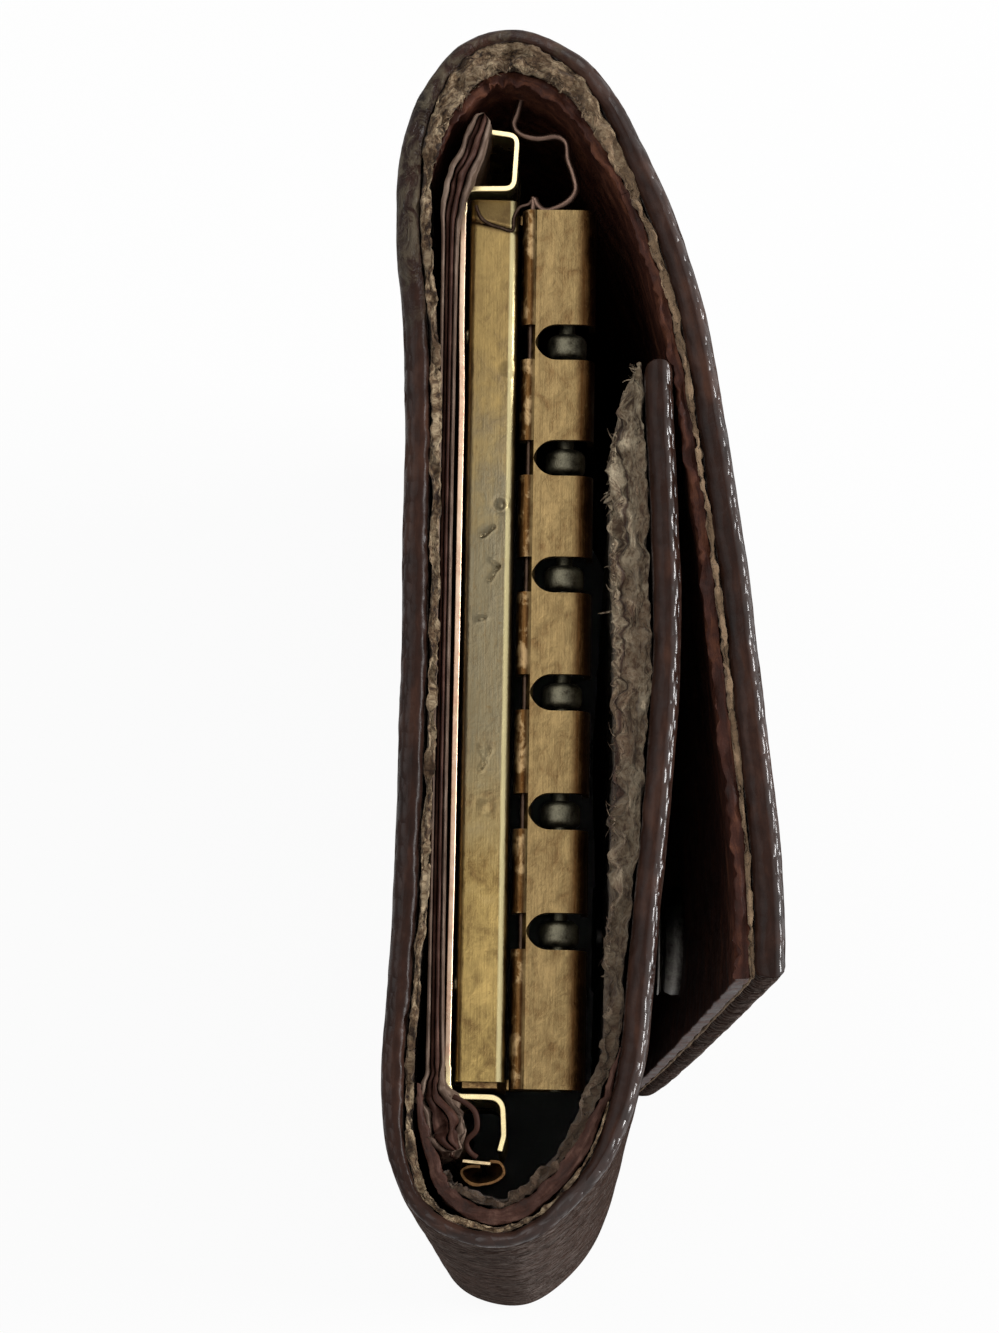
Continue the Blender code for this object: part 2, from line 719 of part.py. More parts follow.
cap_seat = outer_front - CONTACT_GAP
cap_shank = cap_seat - socket_seat + CONTACT_GAP
cap_profile = [(SNAP_CAP_R * out, SNAP_CAP_RISE * rise) for out, rise in SNAP_CAP_CROWN_SHARES]
cap_profile += [(SNAP_SHANK_R, 0.0), (SNAP_SHANK_R, cap_shank), (0.0, cap_shank)]
snap_disc("snap_cap", cap_profile, cap_seat, BRASS)

stud_seat = inner_front - CONTACT_GAP
stud_profile = [(0.0, SNAP_SHEET + STUD_BALL_RISE)]
stud_profile += [(STUD_BALL_R * out, SNAP_SHEET + STUD_BALL_RISE * rise)
                 for out, rise in STUD_BALL_SHARES]
stud_profile += [(SNAP_DISC_R, SNAP_SHEET), (SNAP_DISC_R, 0.0), (0.0, 0.0)]
snap_disc("snap_stud", stud_profile, stud_seat, NICKEL)

post_seat = inner_inside + CONTACT_GAP
post_shank = post_seat - stud_seat - CONTACT_GAP
post_profile = [(0.0, post_shank), (SNAP_SHANK_R, post_shank), (SNAP_SHANK_R, 0.0),
                (SNAP_DISC_R, 0.0), (SNAP_DISC_R - SNAP_SHEET, -SNAP_SHEET), (0.0, -SNAP_SHEET)]
snap_disc("snap_post", post_profile, post_seat, NICKEL)

for layer in ("cover_", "lining_"):
    snap_hole(layer + "outer_flap", socket_seat, cap_seat)
    snap_hole(layer + "inner_flap", post_seat, stud_seat)

for item in wallet.objects:
    if item.name.startswith(("cover_", "lining_", "hinge_", "hook_rod", "rivet", "base_", "slotted")):
        smooth(item.data)


# Fold axes: each fold turns at two creases, one by the back panel and one by its flap

def crease(name, x, y, parent, nodes):
    axis = bpy.data.objects.new(name, None)
    axis.empty_display_size = CREASE_INSET
    wallet.objects.link(axis)
    axis.parent = parent
    axis.location = Vector((x, y, 0.0)) - (parent.location if parent else Vector())
    bpy.context.view_layer.update()
    for node in nodes:
        piece = bpy.data.objects[node]
        piece.parent = axis
        piece.matrix_parent_inverse = axis.matrix_world.inverted()
    print(name, "mm", round(x / MM, 4), round(y / MM, 4))
    return axis


crease_x = WIDTH / 2 - CREASE_INSET
crease_back = back_y - LEATHER
outer_crease_front = outer_strip.at(outer_strip.fold_end)[0].y + LEATHER
inner_crease_front = inner_strip.at(inner_strip.fold_end)[0].y + LEATHER
outer_side = crease("outer_side_axis", crease_x, crease_back, None,
                    ("cover_outer_fold", "lining_outer_fold"))
crease("outer_flap_axis", crease_x, outer_crease_front, outer_side,
       ("cover_outer_flap", "lining_outer_flap", "snap_cap", "snap_socket"))
inner_side = crease("inner_side_axis", -crease_x, crease_back, None,
                    ("cover_inner_fold", "lining_inner_fold"))
crease("inner_flap_axis", -crease_x, inner_crease_front, inner_side,
       ("cover_inner_flap", "lining_inner_flap", "snap_stud", "snap_post"))

print("levels mm: back", back_y / MM, "pivot", pivot_y / MM, "rod", rod_y / MM, "hinge z", hinge_z / MM,
      "rod z", rod_z / MM, "bar half", bar_half / MM)
print("snap mm: socket seat", socket_seat / MM, "stud seat", stud_seat / MM)
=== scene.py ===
# Folding leather key wallet, closed, seen into its open rim.
# Everything is in metres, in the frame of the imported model: X along the width, Y to the back
# panel, Z up to the open rim.

import math

import bpy
import numpy as np
from mathutils import Matrix, Vector

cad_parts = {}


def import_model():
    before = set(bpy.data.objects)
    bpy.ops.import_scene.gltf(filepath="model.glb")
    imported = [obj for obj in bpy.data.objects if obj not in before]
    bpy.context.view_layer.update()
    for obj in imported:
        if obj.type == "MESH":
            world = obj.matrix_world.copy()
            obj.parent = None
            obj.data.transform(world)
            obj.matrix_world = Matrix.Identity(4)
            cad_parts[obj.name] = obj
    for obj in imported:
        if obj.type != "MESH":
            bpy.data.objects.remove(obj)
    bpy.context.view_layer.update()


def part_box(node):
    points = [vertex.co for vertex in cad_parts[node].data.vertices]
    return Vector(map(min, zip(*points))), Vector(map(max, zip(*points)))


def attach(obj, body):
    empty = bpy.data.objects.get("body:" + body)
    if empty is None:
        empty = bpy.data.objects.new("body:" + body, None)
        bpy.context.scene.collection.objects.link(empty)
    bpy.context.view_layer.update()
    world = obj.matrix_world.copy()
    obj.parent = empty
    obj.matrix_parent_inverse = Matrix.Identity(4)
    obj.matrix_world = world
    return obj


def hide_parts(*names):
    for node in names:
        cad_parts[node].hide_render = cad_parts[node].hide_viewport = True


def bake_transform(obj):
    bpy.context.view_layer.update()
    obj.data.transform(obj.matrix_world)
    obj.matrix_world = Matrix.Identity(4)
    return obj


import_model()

MM = 0.001


def middle(node):
    """The middle of a CAD node's box: half the sum of its corners, to a micron."""
    return [round((low + high) / 2, 6) for low, high in zip(*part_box(node))]


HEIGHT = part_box("cover_back")[1].z
HALF_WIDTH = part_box("cover_outer_fold")[1].x
HALF_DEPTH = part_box("cover_back")[1].y
BAR_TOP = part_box("slotted_lid")[1].z
BAR_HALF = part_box("bar_frame")[1].x
LID_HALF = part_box("slotted_lid")[1].x
ROD = middle("hook_rod")[1:]
ROD_R = 0.45 * MM
HINGE = (ROD[0] + 1.95 * MM, middle("hinge_wire")[2])
HINGE_WIRE_R = 0.2 * MM
HOOKS = [f"key_hook_{number}" for number in range(1, 7)]
HOOK_X = [middle(name)[0] for name in HOOKS]


# Meshes from arrays

def unit(vectors):
    """The vectors divided by their lengths."""
    return vectors / np.linalg.norm(vectors, axis=-1, keepdims=True)


def leftward(along):
    """Plane vectors (a, b) turned a quarter to the left, (-b, a)."""
    return np.stack([-along[:, 1], along[:, 0]], -1)


def distances(line):
    """The distance along a line from its start to each point: the sum of the steps between."""
    return np.concatenate([[0], np.cumsum(np.linalg.norm(np.diff(line, axis=0), axis=1))])


def grid_faces(index):
    """Quads of a grid of point numbers."""
    return np.stack([index[:-1, :-1], index[1:, :-1], index[1:, 1:], index[:-1, 1:]], -1).reshape(-1, 4)


def ring_index(rows, sides, closed=False):
    """Point numbers of rows of rings, each back to its first point and, if closed, back to the first row."""
    index = np.arange(rows * sides).reshape(rows, sides)
    index = np.concatenate([index, index[:, :1]], 1)
    return np.concatenate([index, index[:1]]) if closed else index


def fan(ring, centre):
    """Triangles from each two neighbours on a ring to a centre."""
    return np.stack([ring[:-1], ring[1:], np.full(len(ring) - 1, centre)], -1)


def outward(verts, walls, *caps):
    """Walls and caps as given, or all reversed where the signed volume of the walls alone, summed about
    the origin, is negative. Without the caps that sign can be wrong: wire_over_corner faces inwards."""
    total = 0.0
    for second in range(1, walls.shape[1] - 1):
        a, b, c = verts[walls[:, 0]], verts[walls[:, second]], verts[walls[:, second + 1]]
        total += np.einsum("ij,ij->", a, np.cross(b, c))
    return [faces if total > 0 else faces[:, ::-1] for faces in (walls, *caps)]


def piece(name, verts, groups, look, attributes=None, sharp=40.0):
    """A mesh object at the origin from points and from arrays of faces with 3 or 4 corners."""
    mesh = bpy.data.meshes.new(name)
    mesh.from_pydata(verts.tolist(), [], [face for group in groups for face in group.tolist()])
    mesh.validate()
    mesh.shade_smooth()
    mesh.set_sharp_from_angle(angle=math.radians(sharp))
    for label, values in (attributes or {}).items():
        kind, field = ("FLOAT_VECTOR", "vector") if values.ndim == 2 else ("FLOAT", "value")
        made = mesh.attributes.new(label, kind, "POINT")
        made.data.foreach_set(field, values.astype(np.float32).ravel())
    mesh.materials.append(look)
    item = bpy.data.objects.new(name, mesh)
    bpy.context.scene.collection.objects.link(item)
    return item


def used_piece(name, verts, faces, look, attributes=None, sharp=40.0):
    """A closed piece that keeps only the points that its quads use."""
    used, faces = np.unique(faces, return_inverse=True)
    verts = verts[used]
    kept = {label: values[used] for label, values in (attributes or {}).items()}
    return piece(name, verts, outward(verts, faces.reshape(-1, 4)), look, kept, sharp)


def slab(name, points, look, attributes, sharp):
    """A closed solid: the six sides of a box-like grid points[i, j, k], which share their edges."""
    shape = points.shape[:3]
    index = np.arange(np.prod(shape)).reshape(shape)
    faces = np.concatenate([
        grid_faces(index[0])[:, ::-1], grid_faces(index[-1]),
        grid_faces(index[:, 0]), grid_faces(index[:, -1])[:, ::-1],
        grid_faces(index[:, :, 0])[:, ::-1], grid_faces(index[:, :, -1])])
    flat = {label: values.reshape(index.size, -1).squeeze() for label, values in attributes.items()}
    return used_piece(name, points.reshape(-1, 3), faces, look, flat, sharp)


def sheet_piece(name, outer, inner, kept, look):
    """A closed sheet: two like grids of points, the cells that are kept, and a wall round every edge."""
    rows, columns = outer.shape[:2]
    count = rows * columns
    index = np.arange(count).reshape(rows, columns)
    quads = grid_faces(index)[kept.ravel()]
    faces = [quads, quads[:, ::-1] + count]
    framed = np.pad(kept, 1)
    for axis in (0, 1):
        before = framed[:-1, 1:-1] if axis == 0 else framed[1:-1, :-1]
        after = framed[1:, 1:-1] if axis == 0 else framed[1:-1, 1:]
        first = index[:, :-1] if axis == 0 else index[:-1, :]
        second = index[:, 1:] if axis == 0 else index[1:, :]
        for edge, swap in ((before & ~after, axis == 0), (after & ~before, axis == 1)):
            p, q = (second[edge], first[edge]) if swap else (first[edge], second[edge])
            faces.append(np.stack([p, q, q + count, p + count], -1))
    verts = np.concatenate([outer.reshape(-1, 3), inner.reshape(-1, 3)])
    return used_piece(name, verts, np.concatenate(faces), look)


def tube(name, path, radius, flat, look, closed=False, sides=12):
    """A round wire: circles square to a path that lies in a plane with the normal flat."""
    path, flat = np.asarray(path, float), np.asarray(flat, float)
    along = np.roll(path, -1, 0) - np.roll(path, 1, 0) if closed else np.gradient(path, axis=0)
    side = unit(np.cross(unit(along), flat))
    angle = np.linspace(0, 2 * np.pi, sides, endpoint=False)[:, None]
    ring = np.cos(angle) * side[:, None] + np.sin(angle) * flat
    verts = (path[:, None] + ring * radius).reshape(-1, 3)
    index = ring_index(len(path), sides, closed)
    caps = []
    if not closed:
        caps = [np.concatenate([fan(index[0], len(verts)), fan(index[-1], len(verts) + 1)[:, ::-1]])]
        verts = np.concatenate([verts, path[:1], path[-1:]])
    return piece(name, verts, outward(verts, grid_faces(index), *caps), look)


def turned(name, profile, axis, centre, look, sides=48):
    """A profile of (radius, height) turned about a level axis. It closes, or it starts and ends on the
    axis with a fan of triangles at each end; these fans are wound against the walls."""
    profile, axis = np.asarray(profile, float), np.asarray(axis, float)
    u = unit(np.cross(axis, (0.0, 0.0, 1.0)))
    angle = np.linspace(0, 2 * np.pi, sides, endpoint=False)[:, None]
    spoke = np.cos(angle) * u + np.sin(angle) * np.cross(axis, u)
    closed = profile[0, 0] > 0
    body = profile if closed else profile[1:-1]
    verts = (body[:, 0, None, None] * spoke + body[:, 1, None, None] * axis).reshape(-1, 3)
    index = ring_index(len(body), sides, closed)
    caps = []
    if not closed:
        caps = [fan(index[0], len(verts))[:, (1, 0, 2)], fan(index[-1], len(verts) + 1)]
        verts = np.concatenate([verts, profile[[0, -1], 1, None] * axis])
    verts = verts + np.asarray(centre)
    return piece(name, verts, outward(verts - verts.mean(0), grid_faces(index), *caps), look, None, 35.0)


def smooth_noise(points, cell, seed):
    """Noise from -1 to 1: random values on a cubic grid of that cell size, blended between its corners."""
    size = 48
    table = np.random.default_rng(seed).uniform(-1, 1, (size, size, size))
    place = np.asarray(points) / cell
    low = np.floor(place).astype(int)
    part = place - low
    part = part * part * (3 - 2 * part)
    total = 0.0
    for corner in np.ndindex(2, 2, 2):
        weight = 1.0
        for axis in range(3):
            weight = weight * (part[..., axis] if corner[axis] else 1 - part[..., axis])
        spot = (low + corner) % size
        total = total + weight * table[spot[..., 0], spot[..., 1], spot[..., 2]]
    return total


def spline(knots, steps):
    """A Catmull-Rom curve through the knots."""
    knots = np.asarray(knots, float)
    padded = np.concatenate([knots[:1], knots, knots[-1:]])[:, None]
    p0, p1, p2, p3 = padded[:-3], padded[1:-2], padded[2:-1], padded[3:]
    t = (np.arange(steps) / steps)[None, :, None]
    curve = 0.5 * (2 * p1 + (p2 - p0) * t + (2 * p0 - 5 * p1 + 4 * p2 - p3) * t ** 2
                   + (3 * p1 - p0 - 3 * p2 + p3) * t ** 3)
    return np.concatenate([curve.reshape(-1, knots.shape[1]), knots[-1:]])


def evenly(line, step):
    """The same line with points at an even distance."""
    length = distances(line)
    count = max(int(round(length[-1] / step)), 2) + 1
    at = np.linspace(0, length[-1], count)
    return np.stack([np.interp(at, length, line[:, axis]) for axis in range(line.shape[1])], -1)


def quarter(distance, radius):
    """How far a rounded edge draws in at a distance from the end: a quarter circle."""
    left = np.clip((radius - distance) / radius, 0, 1)
    return radius * (1 - np.sqrt(1 - left ** 2))


def fit(item, body, slot, *nodes):
    """The piece rides on its body and replaces CAD nodes; the slot argument is not used."""
    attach(item, body)
    for node in nodes:
        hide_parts(node)


# The leather strip's outline at the rim, in shares of the half width and of the half depth: from the
# outer flap's free edge round the outer fold, along the back, round the inner fold to the inner flap.

OUTLINE_SHARES = (
    (-0.568, -1.011), (-0.358, -0.978), (-0.093, -0.879), (0.123, -0.796), (0.355, -0.684), (0.540, -0.569),
    (0.713, -0.392), (0.886, -0.124), (0.966, 0.114), (1.000, 0.397), (0.975, 0.664), (0.892, 0.867),
    (0.781, 0.972), (0.648, 0.982), (0.502, 0.937), (0.349, 0.920), (0.077, 0.916), (-0.170, 0.913),
    (-0.435, 0.924), (-0.593, 0.950), (-0.740, 0.968), (-0.870, 0.919), (-0.957, 0.777), (-0.996, 0.540),
    (-0.996, 0.270), (-0.941, 0.020), (-0.852, -0.186), (-0.725, -0.316), (-0.602, -0.359), (-0.451, -0.389),
    (-0.228, -0.449), (-0.020, -0.477), (0.185, -0.460), (0.340, -0.434), (0.441, -0.420))
OUTLINE_STEP = 0.1 * MM
NORMAL_REACH = 4


def inward(line):
    """The unit normals of the strip's outline towards its inner side, averaged over a few points."""
    along = np.gradient(line, axis=0)
    window = np.ones(2 * NORMAL_REACH + 1)
    along = np.stack([np.convolve(np.pad(along[:, axis], NORMAL_REACH, "edge"), window, "valid")
                      for axis in (0, 1)], -1)
    return leftward(unit(along))


LINE = evenly(spline(np.array(OUTLINE_SHARES) * (HALF_WIDTH, HALF_DEPTH), 12), OUTLINE_STEP)
LINE_S = distances(LINE)
LINE_IN = inward(LINE)

# Where the strip bends: the back panel's end and just past the flaps' creases
BEND_FROM_X = 24.194 * MM
_right = np.flatnonzero(LINE[:, 0] > BEND_FROM_X)
_left = np.flatnonzero(LINE[:, 0] < -BEND_FROM_X)
SEAMS = LINE_S[[0, _right[0], np.argmax(LINE[:, 0]), _right[-1],
                _left[0], np.argmin(LINE[:, 0]), _left[-1], -1]]
SECTIONS = (
    ("outer_flap", "outer_flap", None), ("outer_bend_front", "outer_side", "outer_flap"),
    ("outer_bend_back", "back", "outer_side"), ("back", "back", None),
    ("inner_bend_back", "back", "inner_side"), ("inner_bend_front", "inner_side", "inner_flap"),
    ("inner_flap", "inner_flap", None))

LEAN = 4.5 * MM
LEAN_POWER = 0.81
LEAN_LENGTH = 0.7 * SEAMS[1]
TAPER = 1.5 * MM

COVER_CORNER = 0.62 * MM
EDGE_BAND = 0.2 * MM
END_STEPS = np.array([0.0, 0.02, 0.06, 0.12, 0.2, 0.3]) * MM
RIM_STEPS = np.array([0.0, 0.05, 0.12, 0.22, 0.35, 0.55, 0.85, 1.3, 2.0]) * MM
STRIP_ROW = 1.6 * MM
THINNEST = 0.04 * MM


def strip_point(s, inset, z):
    """Places on the strip: the outline point at s, moved inwards by the inset; the outer flap's free
    edge leans back towards the wallet below the rim by a share that grows with the depth."""
    x = np.interp(s, LINE_S, LINE[:, 0]) + inset * np.interp(s, LINE_S, LINE_IN[:, 0])
    y = np.interp(s, LINE_S, LINE[:, 1]) + inset * np.interp(s, LINE_S, LINE_IN[:, 1])
    along = np.clip(1 - s / LEAN_LENGTH, 0, 1) ** 2
    depth = np.clip(z, 0, HEIGHT) / HEIGHT
    y = y + LEAN * along * (1 - depth ** LEAN_POWER)
    x = x + TAPER * along * (1 - depth)
    return np.stack(np.broadcast_arrays(x, y, z), -1)


def station(number):
    """The distance along the strip of a place given as section number plus share of that section."""
    return np.interp(number, np.arange(len(SEAMS)), SEAMS)


def table_of(*rows):
    """A function of the distance along the strip, from rows of (place, value in mm)."""
    places, values = np.transpose(rows)
    places, values = station(places), values * MM
    return lambda s: np.interp(s, places, values)


def stretches(start, end, least=0.0):
    """The section, start and end of each stretch between two places: the strip is cut at its seams."""
    stops = [start, *(seam for seam in SEAMS if start + least < seam < end - least), end]
    for low, high in zip(stops, stops[1:]):
        yield SECTIONS[int(np.searchsorted(SEAMS, (low + high) / 2)) - 1], low, high


def carry(item, section):
    """A flat section rides on its body; a bend keeps its place with its transform applied, on no body."""
    label, first, second = section
    if second is None:
        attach(item, first)
        return
    if label.endswith("back"):
        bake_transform(item)
    else:
        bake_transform(item)


def heights(top, foot, step):
    """Rows from foot to top: fine by the two rims, wider between."""
    between = np.linspace(foot + 3 * MM, top - 3 * MM, max(int((top - foot - 6 * MM) / step), 2))
    return np.concatenate([foot + RIM_STEPS, between, top - RIM_STEPS[::-1]])


def strip_layer(name, look, start, end, begin, finish, replaced=(), drop=0.0, step=0.3 * MM,
                corner=0.3 * MM, lump=(0.05 * MM, 3 * MM), ragged=(0.06 * MM, 0.8 * MM), seed=1, columns=7,
                torn=0.0):
    """One layer of the strip between two places: a box-like grid of distance, depth and height. Its
    rims and free ends are quarter circles; noise moves both faces, frays the upper rim and, where the
    layer is torn, roughens the top."""
    start, end = station(start), station(end)
    for section, low, high in stretches(start, end, 0.2 * MM):
        s = np.linspace(low, high, max(int((high - low) / step), 3) + 1)
        if low == start:
            s = np.unique(np.concatenate([s, low + END_STEPS]))
        if high == end:
            s = np.unique(np.concatenate([s, high - END_STEPS]))
        s = s[:, None, None]
        u = (1 - np.cos(np.linspace(0, np.pi, columns)))[None, :, None] / 2
        rows = heights(HEIGHT, 0.0, STRIP_ROW)[None, None, :]
        top = HEIGHT - (drop(s) if callable(drop) else drop)
        z = rows - (HEIGHT - top) * (rows / HEIGHT) ** 8
        first, last = begin(s), finish(s)
        thick = np.maximum(last - first, THINNEST)
        radius = np.minimum(corner, thick * 0.45)
        from_end = np.minimum(s - start, end - s)
        pull = np.maximum(quarter(np.minimum(top - z, z), radius), quarter(from_end, radius))
        pull = np.minimum(pull, 0.48 * thick)
        base = first + pull + u * (thick - 2 * pull)
        flat = np.stack(np.broadcast_arrays(s, base, z), -1)
        bulge = lump[0] * (smooth_noise(flat, lump[1], seed)
                           + 0.3 * smooth_noise(flat, lump[1] / 3, seed + 1))
        near_rim = np.clip(1 - (top - z) / (1.2 * MM), 0, 1)
        fray = ragged[0] * near_rim * (smooth_noise(flat, ragged[1], seed + 2)
                                       + 0.6 * smooth_noise(flat, ragged[1] / 2.7, seed + 3))
        limit = 0.35 * thick
        inset = base + np.clip(bulge * np.clip(z / (4 * MM), 0, 1) + fray * (u - 0.3) * 1.6, -limit, limit)
        on_top = np.clip(1 - (top - z) / (0.3 * MM), 0, 1)
        rough = smooth_noise(flat * (0.5, 1, 1), 0.45 * MM, seed + 4) - 0.7
        z = z + on_top * rough * (0.4 * ragged[0] + torn)
        rim = np.clip(1.3 - np.minimum(top - z, z) / radius, 0, 1)
        edge = np.clip((COVER_CORNER - base - top + z) / EDGE_BAND, 0, 1)
        item = slab(f"{name}_{section[0]}", strip_point(s, inset, z), look,
                    {"strip_place": flat, "rim": rim, "edge": edge}, 50.0)
        carry(item, section)
        stands_for = [section[0]]
        if section[0].endswith("bend_back"):
            stands_for.append(section[0][:5] + "_fold")
        for node in replaced:
            if node.endswith(tuple(stands_for)):
                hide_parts(node)


def fibres(name, look, start, end, inset, reach, count, seed, drop, weight=-2.9):
    """Torn fibres along an edge: thin three-sided spikes that bend, from the edge to its inner side.
    They are reversed only all together, whichever way each one points, so many of them face inwards."""
    random = np.random.default_rng(seed)
    start, end = station(start), station(end)
    for section, low, high in stretches(start, end):
        number = max(int(count * (high - low) / (end - start)), 4)
        clumps = random.uniform(low, high, number // 5 + 1)
        s = np.clip(random.choice(clumps, number) + random.normal(0, 0.35 * MM, number), low, high)
        long = reach * np.minimum(random.lognormal(-0.5, 0.5, number), 1.5)[:, None]
        t = np.linspace(0, 1, 5)[None, :]
        way = random.normal(0, 0.6, (number, 1))
        rise = random.normal(-0.1, 0.35, (number, 1))
        curl = random.normal(0, 0.7, (number, 1))
        along = s[:, None] + long * (way * t + curl * t ** 2)
        deep = inset(s)[:, None] - 0.12 * MM + long * t * (1 - 0.25 * t)
        z = HEIGHT - drop - random.uniform(0, 0.8, (number, 1)) * MM + long * rise * t
        thick = random.lognormal(weight, 0.5, (number, 1)) * MM * (1 - 0.75 * t)
        angle = np.arange(3) * 2 * np.pi / 3
        ring = np.stack([np.cos(angle), 0.3 * np.sin(angle), np.sin(angle)], -1)
        verts = strip_point(along, deep, z)[:, :, None] + thick[..., None, None] * ring
        verts = verts.reshape(-1, 3)
        index = ring_index(number * 5, 3).reshape(number, 5, 4)
        walls = np.stack([index[:, :-1, :-1], index[:, :-1, 1:], index[:, 1:, 1:], index[:, 1:, :-1]], -1)
        ends = np.concatenate([index[:, 0, 2::-1], index[:, -1, :3]])
        flat = np.stack([np.repeat(values, 3) for values in (along, deep, z)], -1)
        item = piece(f"{name}_{section[0]}", verts, outward(verts, walls.reshape(-1, 4), ends), look,
                     {"strip_place": flat})
        carry(item, section)


# Materials

class Look:
    """A procedural material: a few short calls that add and join its nodes."""

    def __init__(self, name):
        """A new material with its shader."""
        self.material = bpy.data.materials.new(name)
        self.material.use_nodes = True
        self.tree = self.material.node_tree
        self.shader = self.tree.nodes["Principled BSDF"]

    def add(self, kind, inputs=None, **settings):
        """A new node with its settings and its inputs."""
        node = self.tree.nodes.new(kind)
        for key, value in settings.items():
            setattr(node, key, value)
        for key, value in (inputs or {}).items():
            self.feed(node.inputs[key], value)
        return node

    def feed(self, socket, value):
        """Joins a socket to another or sets it to a value."""
        if isinstance(value, bpy.types.NodeSocket):
            self.tree.links.new(value, socket)
        else:
            socket.default_value = value

    def place(self, scale=(1, 1, 1)):
        """The place on the piece, scaled along its axes."""
        source = self.add("ShaderNodeTexCoord").outputs["Object"]
        return self.add("ShaderNodeMapping", {"Vector": source, "Scale": scale}).outputs["Vector"]

    def strip(self, scale=(1, 1, 1)):
        """The place along, through and up the leather strip, scaled along these axes."""
        source = self.add("ShaderNodeAttribute", attribute_name="strip_place").outputs["Vector"]
        return self.add("ShaderNodeMapping", {"Vector": source, "Scale": scale}).outputs["Vector"]

    def value(self, attribute):
        """A number that the piece's points carry."""
        return self.add("ShaderNodeAttribute", attribute_name=attribute).outputs["Fac"]

    def axes(self, vector):
        """The three parts of a vector, by name."""
        return self.add("ShaderNodeSeparateXYZ", {0: vector}).outputs

    def noise(self, vector, cell, detail=3.0, rough=0.55, twist=0.0):
        """Cloudy noise of that cell size, from 0 to 1."""
        return self.add("ShaderNodeTexNoise", {"Vector": vector, "Scale": 1 / cell, "Detail": detail,
                                               "Roughness": rough, "Distortion": twist}).outputs["Fac"]

    def pebbles(self, vector, cell):
        """The distance to the middle of the nearest pebble, in cells."""
        return self.add("ShaderNodeTexVoronoi", {"Vector": vector, "Scale": 1 / cell}).outputs["Distance"]

    def ramp(self, value, *stops):
        """Colours or greys at stops along a value, blended between."""
        node = self.add("ShaderNodeValToRGB", {"Fac": value})
        points = node.color_ramp.elements
        while len(points) < len(stops):
            points.new(0.5)
        for point, (position, colour) in zip(points, stops):
            point.position = position
            point.color = (*(colour if isinstance(colour, tuple) else (colour,) * 3), 1.0)
        return node.outputs["Color"]

    def spread(self, value, low, high, to_low=0.0, to_high=1.0, clamp=True):
        """The value's range from low to high, carried to another range."""
        return self.add("ShaderNodeMapRange", {"Value": value, "From Min": low, "From Max": high,
                                               "To Min": to_low, "To Max": to_high},
                        clamp=clamp).outputs["Result"]

    def mix(self, share, first, second, blend="MIX"):
        """The first colour and a share of the second."""
        node = self.add("ShaderNodeMix", data_type="RGBA", blend_type=blend)
        self.feed(node.inputs[0], share)
        for socket, value in ((node.inputs[6], first), (node.inputs[7], second)):
            self.feed(socket, (*value, 1.0) if isinstance(value, tuple) else value)
        return node.outputs[2]

    def sum(self, first, second=0.0, operation="ADD"):
        """The sum of two values, or another operation on them."""
        return self.add("ShaderNodeMath", {0: first, 1: second}, operation=operation).outputs[0]

    def times(self, first, second):
        """The product of two values."""
        return self.sum(first, second, "MULTIPLY")

    def bump(self, height, depth, before=None):
        """Normals tilted by a height of that depth, on top of other bumps."""
        inputs = {"Height": height, "Strength": 1.0, "Distance": depth}
        if before is not None:
            inputs["Normal"] = before
        return self.add("ShaderNodeBump", inputs).outputs["Normal"]

    def finish(self, **sockets):
        """Feeds the shader's own sockets."""
        for key, value in sockets.items():
            if isinstance(value, tuple):
                value = (*value, 1.0)
            self.feed(self.shader.inputs[key.replace("_", " ")], value)
        return self.material


